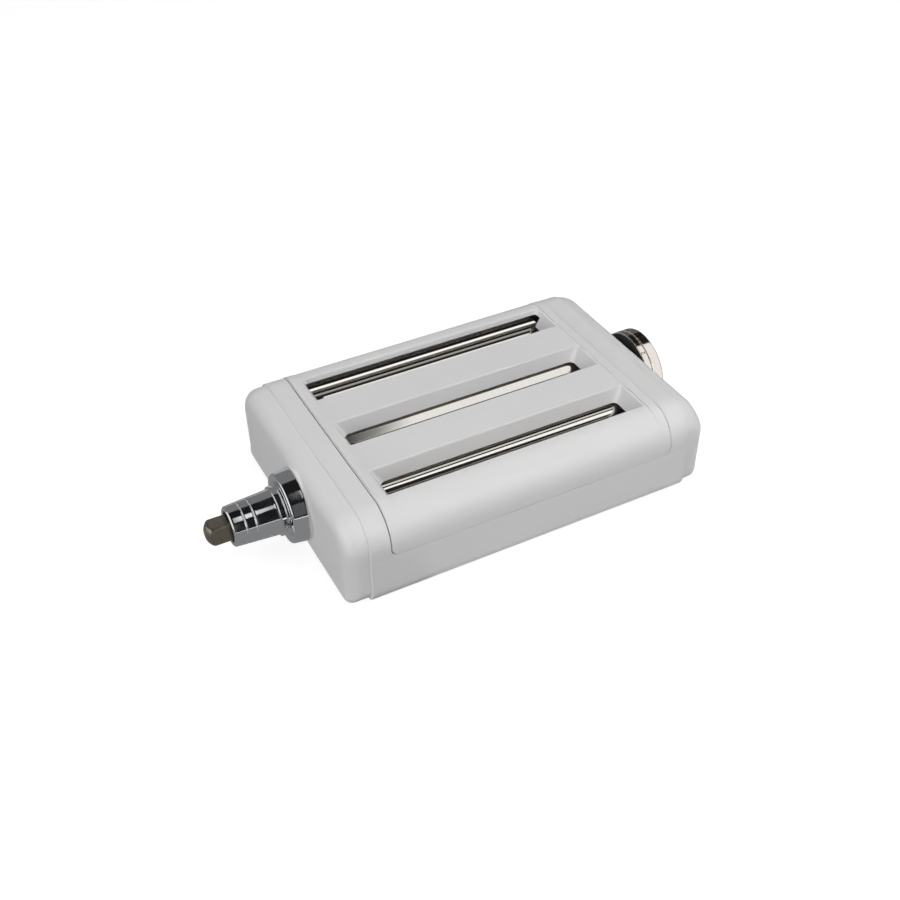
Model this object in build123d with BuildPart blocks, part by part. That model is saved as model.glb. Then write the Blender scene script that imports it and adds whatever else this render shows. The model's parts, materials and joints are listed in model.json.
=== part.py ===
"""Three-slot pasta roller that plugs into a stand mixer's power hub."""
import os
from math import acos, atan2, cos, degrees, hypot, pi, radians, sin, sqrt, tan

from build123d import *

# Frame: X runs along the rollers with the drive end at -X and the dial at +X,
# the front is -Y, and Z = 0 is the surface that the base stands on. Millimetres.

# Moulded housing
body_depth = 150.0
body_height = 53.0
wall_lean = 1.0
top_radius = 18.0
base_radius = 8.0
wall = 3.0
seam_height = 30.0
seam_gap = 0.3
joint_gap = 0.1
cover_corner = 4.0
shoulder_width = 11.8
rim_round = 0.6
cap_inset = 1.0
cap_round = 8.0
cap_base_radius = 9.0
fit_gap = 0.3
face_gap = 0.05
press_gap = 0.02

# Raised band along each end of the cover
band_height = 0.8
band_width = 5.0
band_edge = 0.5
band_radius = 19.0

# Feed slots and outlets
slot_pitch = 45.0
slot_width = 21.4
slot_depth = 8.5
slot_flare = 4.5
slot_overrun = 0.5
throat_width = 17.2
throat_radius = 3.0
slot_radius = 1.2
slot_lip = 0.7
hopper_wall = 2.0
hopper_bite = 0.5
hopper_stop = 5.5
outlet_margin = 1.5
outlet_width = 20.0
outlet_radius = 3.0

# Roller pairs
axis_height = 26.5
roller_length = 153.0
shaft_radius = 5.0
run_clearance = 0.05
sheet_radius = 10.9
sheet_front_y = -11.25
sheet_gap_closed = 0.5
sheet_travel = 2.2
sheet_rear_height = 32.5
front_radius = 10.6
front_spread = 22.4
front_axis_height = 33.0
train_spacing = 22.55
back_radius = 10.8
back_spread = 22.4
back_nip_y = 47.0
back_axis_height = 33.0
roller_chamfer = 0.8
shaft_overhang = 1.0

# Steel frame
roller_end_gap = 4.0
plate_thickness = 3.0
frame_gap = 0.4
cover_margin = 0.5
rod_radius = 3.0
rod_drop = 7.0
bar_inset = 10.0
bar_width = 6.0
bar_height = 8.0
bar_chamfer = 1.2
bush_wall = 2.5
bush_rim = 2.0
bush_flange = 1.0

# Gear case at the drive end
gear_module = 2.0
gear_teeth = 11
idler_teeth = 13
pressure_angle = 20.0
tooth_slack = 0.14
root_clearance = 0.3
gear_backlash = 0.06
gear_width = 6.0
gear_gap = 1.0
sheet_gear_relief = 0.5
hub_wall = 3.0
hub_gap = 1.2
plate_gear_gap = 2.0
gear_plate_thickness = 2.0
gear_plate_low = 9.0
gear_plate_high = 48.5
gear_plate_front = -60.0
gear_plate_back = 63.0
gear_plate_radius = 8.0
standoff_radius = 3.5
standoff_inset = 6.0
standoff_front_low = 5.0
standoff_front_high = 4.0
standoff_back_low = 7.0
standoff_back_high = 4.0
idler_pin_radius = 4.0
idler_pin_head = 6.0
cap_room = 3.9

# Carriage of the moving sheet roller
block_width = 18.0
block_height = 19.0
arm_width = 22.0
arm_thickness = 2.1
arm_radius = 2.0
arm_low = 5.0
arm_high = 42.3
block_stand = 3.0
blind_floor = 2.0
follower_radius = 2.0
carriage_bar_width = 7.0
carriage_bar_height = 5.5
carriage_bar_lead = 1.0

# Thickness dial with its spiral cam
dial_y = 6.5
dial_z = 25.4
dial_turn = 315.0
cam_gap = 4.0
cam_thickness = 6.0
cam_radius = 12.0
groove_slack = 0.2
groove_depth = 4.8
groove_floor_gap = 0.6
groove_steps = 24
spindle_radius = 5.0
washer_room = 2.5
washer_thickness = 0.8
inner_boss_radius = 9.0
outer_boss = 1.2
outer_boss_radius = 15.0
boss_draft = 1.0
knob_gap = 0.4
knob_radius = 24.4
dial_ring_width = 3.8
dial_step = 0.4
grip_width = 6.7
knob_chamfer = 1.0
dish_depth = 2.2
dish_radius = 19.0
grip_hub_radius = 9.5
grip_hub_edge = 0.6
spindle_recess = 1.6

# Drive shank
boss_radius = 23.5
boss_height = 2.7
flange_radius = 20.2
flange_face_radius = 18.0
flange_rim = 2.0
flange_thickness = 7.2
collar_radius = 15.4
collar_length = 1.2
register_radius = 13.6
register_length = 3.0
barrel_root = 12.5
barrel_tip = 11.0
barrel_chamfer = 0.8
shank_length = 36.6
shank_bore = 8.6
spigot_radius = 12.5
scribe_depth = 0.35
scribe_width = 0.6
scribe_back = (7.2, 12.6)
lug_width = 6.0
lug_height = 3.4
lug_reach = 18.6
lug_root = 15.0
shank_bush_end = 4.0
drive_journal = 6.5
square_side = 10.9
square_round = 1.2
square_turn = -5.4
square_sink = 2.7
square_reach = 12.3
drive_dome = 4.5
drive_bulge = 0.6
nose_radius = 3.0

# Scrapers and fasteners
scraper_thickness = 0.8
scraper_gap = 0.4
scraper_angle = 50.0
scraper_bevel = 1.5
scraper_splay = 7.5
screw_radius = 1.65
screw_head_radius = 3.2
screw_head = 1.6
screw_length = 8.0
base_screw_head_radius = 3.7
base_screw_length = 7.0
base_screw_inset = 20.5
base_screw_rise = 0.3
counterbore = 1.6
shank_screw_circle = 16.0
shank_screw_reach = 6.0
tap_runout = 0.7
dial_screw_radius = 6.5
dial_screw_head = 1.2

# Stations along X, from the middle outwards
SEAT = (Align.CENTER, Align.CENTER, Align.MIN)
HANG = (Align.CENTER, Align.CENTER, Align.MAX)
roller_half = roller_length / 2
plate_face = roller_half + roller_end_gap
plate_outer = plate_face + plate_thickness
cover_half = plate_outer + cover_margin
shoulder_half = cover_half + shoulder_width
gear_start = plate_outer + plate_gear_gap
gear_end = gear_start + gear_width
train_start = gear_end + gear_gap
train_end = train_start + gear_width
gear_plate_face = train_end + gear_gap
train_bearing = gear_plate_face + gear_plate_thickness
cap_inner = train_bearing + cap_room
cap_half = cap_inner + wall
block_end = plate_outer + block_stand
cam_face = block_end + cam_gap
cam_back = cam_face + cam_thickness
inner_boss = cam_back + washer_room
knob_start = cap_half + outer_boss + knob_gap
grip_start = knob_start + dial_ring_width + dial_step
grip_end = grip_start + grip_width
spindle_end = grip_end - spindle_recess
flange_back = cap_half + boss_height
flange_face = flange_back + flange_thickness
collar_face = flange_face + collar_length
register_end = collar_face + register_length
shank_tip = flange_back + shank_length
square_start = shank_tip - square_sink
square_corner = hypot(square_side, square_side) / 2
drive_end = shank_tip + square_reach
origin_shift = (drive_end - grip_end) / 2

# Places across the body
slot_length = roller_length + 2 * slot_overrun
throat_length = slot_length - 2 * slot_flare
outlet_length = roller_length - 2 * outlet_margin
floor = wall
rod_y = slot_pitch / 2
rod_z = body_height - rod_drop
bar_y = body_depth / 2 - wall_lean - bar_inset
base_screw_x = plate_face - base_screw_inset
bush_radius = shaft_radius + bush_wall
bush_flange_radius = bush_radius + bush_rim
hub_radius = shaft_radius + hub_wall
sheet_rise = sheet_rear_height - axis_height
sheet_spacing = 2 * sheet_radius + sheet_gap_closed
sheet_lead = sqrt(sheet_spacing ** 2 - sheet_rise ** 2)
sheet_closed_y = sheet_front_y + sheet_lead
sheet_rear_y = sheet_closed_y + sheet_travel
front_rise = front_axis_height - axis_height
front_rear_y = sheet_front_y - sqrt(train_spacing ** 2 - front_rise ** 2)
front_front_y = front_rear_y - front_spread
front_nip_y = (front_rear_y + front_front_y) / 2
back_front_y = back_nip_y - back_spread / 2
back_rear_y = back_nip_y + back_spread / 2
idler_reach = gear_module * (gear_teeth + idler_teeth) / 2 + gear_backlash
train_run = hypot(back_front_y - sheet_front_y, back_axis_height - axis_height)
train_angle = degrees(atan2(back_axis_height - axis_height, back_front_y - sheet_front_y))
idler_drop = degrees(acos(train_run / 2 / idler_reach))
idler_in = train_angle - idler_drop
idler_out = train_angle + idler_drop
idler_y = sheet_front_y + idler_reach * cos(radians(idler_in))
idler_z = axis_height + idler_reach * sin(radians(idler_in))

os.makedirs("parts", exist_ok=True)


def save(builder, label):
    """Set a finished piece over the origin, which lies under the middle of the whole, and write it."""
    piece = builder.part.moved(Pos(origin_shift, 0, 0))
    piece.label = label
    export_step(piece, f"parts/{label}.step")


def along_x(x, y, z):
    """Plane square to X at a point, with its own x towards +Y and its own y up."""
    return Plane(origin=(x, y, z), x_dir=(0, 1, 0), z_dir=(1, 0, 0))


def turning_plane(y, z):
    """Plane through an axis along X, for profiles that are revolved about it."""
    return Plane(origin=(0, y, z), x_dir=(1, 0, 0), z_dir=(0, -1, 0))


def rounded_section(x, half_top, half_base, low, high, radius_top, radius_base):
    """Housing outline across X: a box with slightly leaning walls and round corners."""
    with BuildSketch(Plane.YZ.offset(x)) as outline:
        with BuildLine():
            Polyline((-half_base, low), (half_base, low), (half_top, high), (-half_top, high), close=True)
        make_face()
        fillet(outline.vertices().group_by(Axis.Y)[-1], radius_top)
        fillet(outline.vertices().group_by(Axis.Y)[0], radius_base)
    return outline.sketch


def body_section(x, inset=0.0):
    """Housing outline, drawn in from the outer skin by inset."""
    return rounded_section(
        x, body_depth / 2 - inset, body_depth / 2 - wall_lean - inset, inset, body_height - inset,
        top_radius - inset, base_radius - inset)


def cap_section(x, inset):
    """End cap outline, whose base corners are rounder than the tray's."""
    return rounded_section(
        x, body_depth / 2 - inset, body_depth / 2 - wall_lean - inset, inset, body_height - inset,
        top_radius - inset, cap_base_radius)


def band_section(x):
    """Outline of the cover's end band, which sinks into the skin part way down the shoulder."""
    return rounded_section(
        x, body_depth / 2, body_depth / 2 - wall_lean, 0, body_height + band_height, band_radius, base_radius)


def cover_outline(grow):
    """Front view of the top cover with its rounded lower corners, for cutting along Y."""
    half = cover_half + grow
    with BuildSketch(Plane.XZ) as outline:
        with BuildLine():
            Polyline((-half, seam_height - grow), (half, seam_height - grow), (half, 2 * body_height),
                     (-half, 2 * body_height), close=True)
        make_face()
        fillet(outline.vertices().group_by(Axis.Y)[0], cover_corner + grow)
    return outline.sketch


# Tray with the three outlets
with BuildPart() as lower_housing:
    extrude(body_section(-shoulder_half), amount=2 * shoulder_half)
    for end_face in lower_housing.faces().filter_by(Axis.X):
        fillet(end_face.edges(), rim_round)
    extrude(body_section(-shoulder_half, wall), amount=2 * shoulder_half, mode=Mode.SUBTRACT)
    with Locations((0, 0, seam_height)):
        Box(2 * cap_half, 2 * body_depth, body_height, align=SEAT, mode=Mode.SUBTRACT)
    with BuildSketch(Plane.XY):
        with Locations((0, front_nip_y), (0, 0), (0, back_nip_y)):
            RectangleRounded(outlet_length, outlet_width, outlet_radius)
    extrude(amount=floor, mode=Mode.SUBTRACT)
    with Locations(*[Pos(x, y, 0) for x in (-base_screw_x, base_screw_x) for y in (-bar_y, bar_y)]):
        Cylinder(base_screw_head_radius + fit_gap, counterbore, align=SEAT, mode=Mode.SUBTRACT)
        Cylinder(screw_radius + fit_gap, floor, align=SEAT, mode=Mode.SUBTRACT)
save(lower_housing, "lower_housing")


# Top cover with three sloped feed hoppers
cover_end = cover_half - seam_gap
hopper_top = body_height - wall


def slot_size(depth, grow=0.0):
    """Length and width of a feed slot at a depth below the top, plus a wall all round."""
    share = depth / slot_depth
    length = slot_length + (throat_length - slot_length) * share
    width = slot_width + (throat_width - slot_width) * share
    return length + 2 * grow, width + 2 * grow


with BuildPart() as top_cover:
    extrude(body_section(-cover_end), amount=2 * cover_end)
    for start in (-cover_end + band_edge, cover_end - band_edge - band_width):
        extrude(band_section(start), amount=band_width)
    extrude(body_section(-cover_end, wall), amount=2 * cover_end, mode=Mode.SUBTRACT)
    extrude(cover_outline(-seam_gap), amount=body_depth, both=True, mode=Mode.INTERSECT)
    for slot_y in (-slot_pitch, 0, slot_pitch):
        for depth in (wall - hopper_bite, slot_depth):
            with BuildSketch(Plane.XY.offset(body_height - depth)):
                with Locations((0, slot_y)):
                    RectangleRounded(*slot_size(depth, hopper_wall), throat_radius + hopper_wall)
        loft()
    # The outer slots have no hopper wall on the shoulder side, only the skin's edge
    for side in (-1, 1):
        with Locations((0, side * (slot_pitch + slot_width / 2), hopper_top)):
            Box(slot_length, 2 * hopper_stop, slot_depth, align=HANG, mode=Mode.SUBTRACT)
    for slot_y in (-slot_pitch, 0, slot_pitch):
        for depth, radius in ((0.0, slot_radius), (slot_depth, throat_radius)):
            with BuildSketch(Plane.XY.offset(body_height - depth)):
                with Locations((0, slot_y)):
                    RectangleRounded(*slot_size(depth), radius)
        loft(mode=Mode.SUBTRACT)
    top_face = top_cover.faces().filter_by(Axis.Z).filter_by(lambda f: abs(f.center().Z - body_height) < 0.01)
    lips = [edge for face in top_face for wire in face.inner_wires() for edge in wire.edges()]
    fillet(lips, slot_lip)
save(top_cover, "top_cover")


# Shoulders that carry the skin from the cover to the end caps, with a web round the cover's corners
shoulder_start = cover_half - cover_corner
for label, side in (("left_shoulder", -1), ("right_shoulder", 1)):
    with BuildPart() as shoulder:
        extrude(body_section(side * shoulder_start), amount=side * (shoulder_half - shoulder_start))
        fillet(shoulder.faces().sort_by(Axis.X)[0 if side < 0 else -1].edges(), rim_round)
        extrude(body_section(side * shoulder_start, wall), amount=side * (shoulder_half - shoulder_start),
                mode=Mode.SUBTRACT)
        with Locations((0, 0, seam_height + joint_gap)):
            Box(3 * cap_half, 2 * body_depth, body_height, align=HANG,
                mode=Mode.SUBTRACT)
        extrude(cover_outline(0), amount=body_depth, both=True, mode=Mode.SUBTRACT)
    save(shoulder, label)


# End caps: hollow cups with a well rounded rim
def end_cap(side):
    """Plain cup for one end, its open side on the shoulder, side -1 or +1 along X."""
    with BuildPart() as cavity:
        hollow = cap_section(side * shoulder_half, cap_inset + wall)
        extrude(hollow, amount=side * (cap_inner - shoulder_half))
        fillet(cavity.faces().sort_by(Axis.X)[0 if side < 0 else -1].edges(), cap_round - wall)
    with BuildPart() as cup:
        extrude(cap_section(side * shoulder_half, cap_inset), amount=side * (cap_half - shoulder_half))
        fillet(cup.faces().sort_by(Axis.X)[0 if side < 0 else -1].edges(), cap_round)
        add(cavity.part, mode=Mode.SUBTRACT)
    return cup.part


with BuildPart() as drive_end_cap:
    add(end_cap(-1))
    with Locations(along_x(-flange_back, sheet_front_y, axis_height)):
        Cone(boss_radius - boss_draft, boss_radius, boss_height, align=SEAT)
    with Locations(along_x(-flange_back, sheet_front_y, axis_height)):
        Cylinder(spigot_radius + run_clearance, boss_height + wall, align=SEAT, mode=Mode.SUBTRACT)
        with PolarLocations(shank_screw_circle, 3):
            Cylinder(screw_radius + run_clearance, boss_height + wall, align=SEAT, mode=Mode.SUBTRACT)
save(drive_end_cap, "drive_end_cap")

with BuildPart() as dial_end_cap:
    add(end_cap(1))
    with Locations(along_x(inner_boss, dial_y, dial_z)):
        Cylinder(inner_boss_radius, cap_inner - inner_boss, align=SEAT)
    with Locations(along_x(cap_half, dial_y, dial_z)):
        Cone(outer_boss_radius, outer_boss_radius - boss_draft, outer_boss, align=SEAT)
    with Locations(along_x(inner_boss, dial_y, dial_z)):
        Cylinder(spindle_radius + run_clearance, cap_half + outer_boss - inner_boss, align=SEAT,
                 mode=Mode.SUBTRACT)
save(dial_end_cap, "dial_end_cap")


# Steel side plates, drilled for the bushes, with a window for the sliding bearing block
bush_places = (
    (front_front_y, front_axis_height), (front_rear_y, front_axis_height), (sheet_front_y, axis_height),
    (back_front_y, back_axis_height), (back_rear_y, back_axis_height))
train_places = (
    (front_rear_y, front_axis_height), (sheet_front_y, axis_height), (back_front_y, back_axis_height))
rod_places = ((-rod_y, rod_z), (rod_y, rod_z))
bar_places = ((-bar_y, floor + bar_height / 2), (bar_y, floor + bar_height / 2))
window_middle = (sheet_closed_y + sheet_rear_y) / 2
window_width = block_width + sheet_travel + 2 * fit_gap
standoff_front = gear_plate_front + standoff_inset
standoff_back = gear_plate_back - standoff_inset
standoff_places = (
    (standoff_front, gear_plate_low + standoff_front_low),
    (standoff_front, gear_plate_high - standoff_front_high),
    (standoff_back, gear_plate_low + standoff_back_low),
    (standoff_back, gear_plate_high - standoff_back_high))

for label, start in (("left_side_plate", -plate_outer), ("right_side_plate", plate_face)):
    with BuildPart() as side_plate:
        extrude(body_section(start, wall + frame_gap), amount=plate_thickness)
        with Locations(*[along_x(start, y, z) for y, z in bush_places]):
            Cylinder(bush_radius + press_gap, plate_thickness, align=SEAT, mode=Mode.SUBTRACT)
        with Locations(*[along_x(start, y, z) for y, z in rod_places + bar_places]):
            Cylinder(screw_radius + face_gap, plate_thickness, align=SEAT, mode=Mode.SUBTRACT)
        with BuildSketch(along_x(start, window_middle, sheet_rear_height)):
            Rectangle(window_width, block_height + 2 * fit_gap)
        extrude(amount=plate_thickness, mode=Mode.SUBTRACT)
    save(side_plate, label)

with BuildPart() as gear_plate:
    with BuildSketch(along_x(-train_bearing, 0, 0)):
        with Locations(((gear_plate_front + gear_plate_back) / 2, (gear_plate_low + gear_plate_high) / 2)):
            RectangleRounded(gear_plate_back - gear_plate_front, gear_plate_high - gear_plate_low,
                             gear_plate_radius)
        with Locations(*train_places):
            Circle(bush_radius + press_gap, mode=Mode.SUBTRACT)
        with Locations((idler_y, idler_z)):
            Circle(idler_pin_radius + press_gap, mode=Mode.SUBTRACT)
        with Locations(*standoff_places):
            Circle(screw_radius + face_gap, mode=Mode.SUBTRACT)
    extrude(amount=gear_plate_thickness)
save(gear_plate, "gear_plate")

with BuildPart() as gear_plate_standoffs:
    with Locations(*[along_x(-gear_plate_face, y, z) for y, z in standoff_places]):
        Cylinder(standoff_radius, gear_plate_face - plate_outer, align=SEAT)
        Cylinder(screw_radius + face_gap, screw_length + tap_runout, align=SEAT, mode=Mode.SUBTRACT)
save(gear_plate_standoffs, "gear_plate_standoffs")


# Tie rods above and bars on the tray's floor, tapped at both ends
with BuildPart() as tie_rods:
    with Locations(*[along_x(-plate_face, y, z) for y, z in rod_places]):
        Cylinder(rod_radius, 2 * plate_face, align=SEAT)
    with Locations(*[along_x(-plate_face, y, z) for y, z in rod_places],
                   *[along_x(plate_face - screw_length, y, z) for y, z in rod_places]):
        Cylinder(screw_radius + face_gap, screw_length, align=SEAT, mode=Mode.SUBTRACT)
save(tie_rods, "tie_rods")

with BuildPart() as base_bars:
    for y, z in bar_places:
        with BuildSketch(along_x(-plate_face, y, z)):
            Rectangle(bar_width, bar_height)
        extrude(amount=2 * plate_face)
    chamfer(base_bars.edges().filter_by(Axis.X), bar_chamfer)
    with Locations(*[along_x(-plate_face, y, z) for y, z in bar_places],
                   *[along_x(plate_face - screw_length, y, z) for y, z in bar_places]):
        Cylinder(screw_radius + face_gap, screw_length, align=SEAT, mode=Mode.SUBTRACT)
    with Locations(*[Pos(x, y, floor) for x in (-base_screw_x, base_screw_x) for y in (-bar_y, bar_y)]):
        Cylinder(screw_radius + face_gap, base_screw_length - floor + counterbore + tap_runout, align=SEAT,
                 mode=Mode.SUBTRACT)
save(base_bars, "base_bars")


# Flanged bushes in the plates
def bushes(label, places, start, length, flange_start):
    """Sleeves through a plate, each with a thin flange against its face."""
    with BuildPart() as sleeves:
        with Locations(*[along_x(start, y, z) for y, z in places]):
            Cylinder(bush_radius, length, align=SEAT)
        with Locations(*[along_x(flange_start, y, z) for y, z in places]):
            Cylinder(bush_flange_radius, bush_flange, align=SEAT)
        with Locations(*[along_x(min(start, flange_start), y, z) for y, z in places]):
            Cylinder(shaft_radius + run_clearance, length + bush_flange, align=SEAT, mode=Mode.SUBTRACT)
    save(sleeves, label)


bushes("left_bushes", bush_places, -plate_outer, plate_thickness, -plate_face)
bushes("right_bushes", bush_places, plate_face, plate_thickness, plate_face - bush_flange)
bushes("gear_plate_bushes", train_places, -train_bearing, gear_plate_thickness, -train_bearing - bush_flange)


# Rollers turned with their journals
def roller(label, y, z, radius, left_end, right_end):
    """Polished barrel with a plain shaft out of each end."""
    with BuildPart() as barrel:
        with Locations(along_x(-roller_half, y, z)):
            Cylinder(radius, 2 * roller_half, align=SEAT)
        chamfer(barrel.edges().filter_by(GeomType.CIRCLE), roller_chamfer)
        with Locations(along_x(left_end, y, z)):
            Cylinder(shaft_radius, right_end - left_end, align=SEAT)
    save(barrel, label)


shaft_stub = plate_outer + shaft_overhang
sheet_gear_end = gear_end - sheet_gear_relief
roller("front_slot_front_roller", front_front_y, front_axis_height, front_radius, -shaft_stub, gear_end)
roller("front_slot_rear_roller", front_rear_y, front_axis_height, front_radius, -train_bearing, gear_end)
roller("back_slot_front_roller", back_front_y, back_axis_height, back_radius, -train_bearing, gear_end)
roller("back_slot_rear_roller", back_rear_y, back_axis_height, back_radius, -shaft_stub, gear_end)
roller("sheet_rear_roller", sheet_rear_y, sheet_rear_height, sheet_radius, -sheet_gear_end,
       block_end - blind_floor - fit_gap)

with BuildPart() as sheet_front_roller:
    with Locations(along_x(-roller_half, sheet_front_y, axis_height)):
        Cylinder(sheet_radius, 2 * roller_half, align=SEAT)
    chamfer(sheet_front_roller.edges().filter_by(GeomType.CIRCLE), roller_chamfer)
    with Locations(along_x(-roller_half, sheet_front_y, axis_height)):
        Cylinder(shaft_radius + press_gap, 2 * roller_half, align=SEAT, mode=Mode.SUBTRACT)
save(sheet_front_roller, "sheet_front_roller")


# Drive shaft: round through the roller and the shank, square at the tip with a domed end
with BuildPart() as square_tip:
    with BuildSketch(along_x(-drive_end, sheet_front_y, axis_height)):
        RectangleRounded(square_side, square_side, square_round, rotation=square_turn)
    extrude(amount=drive_end - square_start)
    with BuildSketch(turning_plane(sheet_front_y, axis_height)):
        with BuildLine():
            Polyline((-drive_end, nose_radius), (-drive_end, 0), (-square_start, 0),
                     (-square_start, square_side),
                     (-drive_end + drive_dome, square_side), (-drive_end + drive_dome, square_corner))
            SagittaArc((-drive_end + drive_dome, square_corner), (-drive_end, nose_radius), drive_bulge)
        make_face()
    revolve(axis=Axis((0, sheet_front_y, axis_height), (1, 0, 0)), mode=Mode.INTERSECT)

with BuildPart() as drive_shaft:
    with Locations(along_x(-flange_back, sheet_front_y, axis_height)):
        Cylinder(shaft_radius, flange_back + shaft_stub, align=SEAT)
    with Locations(along_x(-square_start, sheet_front_y, axis_height)):
        Cylinder(drive_journal, square_start - flange_back, align=SEAT)
    add(square_tip.part)
save(drive_shaft, "drive_shaft")


# Involute spur gears
def tooth_points(teeth, phase):
    """Outline of a spur gear, four points to a flank pair's side, first tooth centred on phase."""
    pitch = gear_module * teeth / 2
    base = pitch * cos(radians(pressure_angle))
    root = pitch - gear_module - root_clearance
    tip = pitch + gear_module
    involute = tan(radians(pressure_angle)) - radians(pressure_angle)
    half = pi / (2 * teeth) - tooth_slack / pitch

    def flank(radius):
        angle = acos(base / radius)
        return half + involute - (tan(angle) - angle)

    levels = [base, (base + pitch) / 2 + 0.4, (pitch + tip) / 2, tip]
    side = [(root, flank(base))] + [(radius, flank(radius)) for radius in levels[1:]]
    points = []
    for tooth in range(teeth):
        middle = radians(phase) + 2 * pi * tooth / teeth
        polar = [(r, middle - a) for r, a in side] + [(r, middle + a) for r, a in reversed(side)]
        points += [(r * cos(a), r * sin(a)) for r, a in polar]
    return points


def spur_gear(label, y, z, teeth, phase, start, length, bore, hub_start=None, hub_length=0.0):
    """Gear on an axis along X, with a hub beside it where one is asked for."""
    with BuildPart() as gear:
        with BuildSketch(along_x(start, y, z)):
            with BuildLine():
                Polyline(*tooth_points(teeth, phase), close=True)
            make_face()
        extrude(amount=length)
        low, high = start, start + length
        if hub_start is not None:
            with Locations(along_x(hub_start, y, z)):
                Cylinder(hub_radius, hub_length, align=SEAT)
            low, high = min(low, hub_start), max(high, hub_start + hub_length)
        with Locations(along_x(low, y, z)):
            Cylinder(bore, high - low, align=SEAT, mode=Mode.SUBTRACT)
    save(gear, label)


def meshing_phase(teeth, phase, next_teeth, direction):
    """Phase of the next gear, whose centre lies at an angle from this one, so that the two mesh."""
    pitch = 360 / teeth
    lead = (phase - direction + pitch / 2) % pitch - pitch / 2
    gap = direction + 180 - lead * teeth / next_teeth
    return (gap + 180 / next_teeth) % (360 / next_teeth)


idler_phase = meshing_phase(gear_teeth, 0, idler_teeth, idler_in)
back_phase = meshing_phase(idler_teeth, idler_phase, gear_teeth, idler_out)
front_in = degrees(atan2(front_rise, front_rear_y - sheet_front_y))
sheet_in = degrees(atan2(sheet_rise, sheet_lead))
front_train_phase = meshing_phase(gear_teeth, 0, gear_teeth, front_in)
sheet_phase = meshing_phase(gear_teeth, 0, gear_teeth, sheet_in)
front_phase = meshing_phase(gear_teeth, 0, gear_teeth, 180)
rear_phase = meshing_phase(gear_teeth, 0, gear_teeth, 0)
snug = shaft_radius + press_gap
hub_face = plate_outer + hub_gap
spur_gear("sheet_drive_gear", sheet_front_y, axis_height, gear_teeth, 0, -train_end,
          train_end - gear_start, snug, -gear_start, gear_start - hub_face)
spur_gear("sheet_rear_gear", sheet_rear_y, sheet_rear_height, gear_teeth, sheet_phase, -sheet_gear_end,
          sheet_gear_end - gear_start, snug)
spur_gear("front_train_gear", front_rear_y, front_axis_height, gear_teeth, front_train_phase, -train_end,
          gear_width, snug, -train_start, train_start - hub_face)
spur_gear("back_train_gear", back_front_y, back_axis_height, gear_teeth, back_phase, -train_end,
          gear_width, snug, -train_start, train_start - hub_face)
spur_gear("idler_gear", idler_y, idler_z, idler_teeth, idler_phase, -train_end, gear_width,
          idler_pin_radius + run_clearance)
pair_gears = (
    ("front_pair_front_gear", front_front_y, front_axis_height, front_phase),
    ("front_pair_rear_gear", front_rear_y, front_axis_height, 0),
    ("back_pair_front_gear", back_front_y, back_axis_height, 0),
    ("back_pair_rear_gear", back_rear_y, back_axis_height, rear_phase))
for label, y, z, phase in pair_gears:
    spur_gear(label, y, z, gear_teeth, phase, gear_start, gear_width, snug, hub_face, gear_start - hub_face)

with BuildPart() as idler_pin:
    with Locations(along_x(-train_bearing, idler_y, idler_z)):
        Cylinder(idler_pin_radius, train_bearing - train_start, align=SEAT)
    with Locations(along_x(-train_bearing - bush_flange, idler_y, idler_z)):
        Cylinder(idler_pin_head, bush_flange, align=SEAT)
save(idler_pin, "idler_pin")


# Sliding carriage: a bearing block with a hanging arm at each end, a bar and its scraper
def bearing_block(label, side):
    """Block that slides in a plate's window, with its arm inside the plate, side -1 or +1 along X."""
    arm_start = plate_face - frame_gap - arm_thickness
    reach = block_end if side > 0 else plate_outer + fit_gap
    with BuildPart() as block:
        with BuildSketch(along_x(side * arm_start, sheet_rear_y, 0)):
            with Locations((0, (arm_low + arm_high) / 2)):
                RectangleRounded(arm_width, arm_high - arm_low, arm_radius)
        extrude(amount=side * arm_thickness)
        with BuildSketch(along_x(side * (arm_start + arm_thickness), sheet_rear_y, sheet_rear_height)):
            Rectangle(block_width, block_height)
        extrude(amount=side * (reach - arm_start - arm_thickness))
        bore_start = arm_start if side > 0 else -reach
        bore_length = reach - arm_start - (blind_floor if side > 0 else 0)
        with Locations(along_x(bore_start, sheet_rear_y, sheet_rear_height)):
            Cylinder(shaft_radius + run_clearance, bore_length, align=SEAT, mode=Mode.SUBTRACT)
        if side > 0:
            with Locations(along_x(block_end, sheet_rear_y, dial_z)):
                Cylinder(follower_radius, cam_face - block_end + groove_depth - groove_floor_gap, align=SEAT)
    save(block, label)


bearing_block("left_bearing_block", -1)
bearing_block("right_bearing_block", 1)
arm_inner = plate_face - frame_gap - arm_thickness
bar_front = sheet_rear_y - carriage_bar_lead

with BuildPart() as carriage_bar:
    with Locations((0, bar_front, arm_low)):
        Box(2 * arm_inner, carriage_bar_width, carriage_bar_height,
            align=(Align.CENTER, Align.MIN, Align.MIN))
save(carriage_bar, "carriage_bar")


# Scraper blades under the rollers
def blade_section(start, y, z, radius, side, foot_y, foot_z):
    """Section of a blade from its bevelled edge near a roller down to its foot."""
    angle = radians(scraper_angle)
    reach = radius + scraper_gap
    edge = Vector(y + side * reach * cos(angle), z - reach * sin(angle))
    foot = Vector(foot_y, foot_z)
    run = (foot - edge).normalized()
    thick = Vector(-run.Y, run.X) * side * scraper_thickness
    shoulder = edge + run * scraper_bevel + thick
    heel = foot + thick
    with BuildSketch(along_x(start, 0, 0)) as section:
        with BuildLine():
            Polyline(*[(corner.X, corner.Y) for corner in (edge, foot, heel, shoulder)], close=True)
        make_face()
    return section.sketch


def scrapers(label, rollers):
    """Blades for a list of rollers, each (y, z, radius, side of its nip)."""
    with BuildPart() as blades:
        for y, z, radius, side in rollers:
            edge_y = y + side * (radius + scraper_gap) * cos(radians(scraper_angle))
            foot = (edge_y - side * scraper_splay, floor + scraper_thickness)
            extrude(blade_section(-plate_face, y, z, radius, side, *foot), amount=2 * plate_face)
    save(blades, label)


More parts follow.
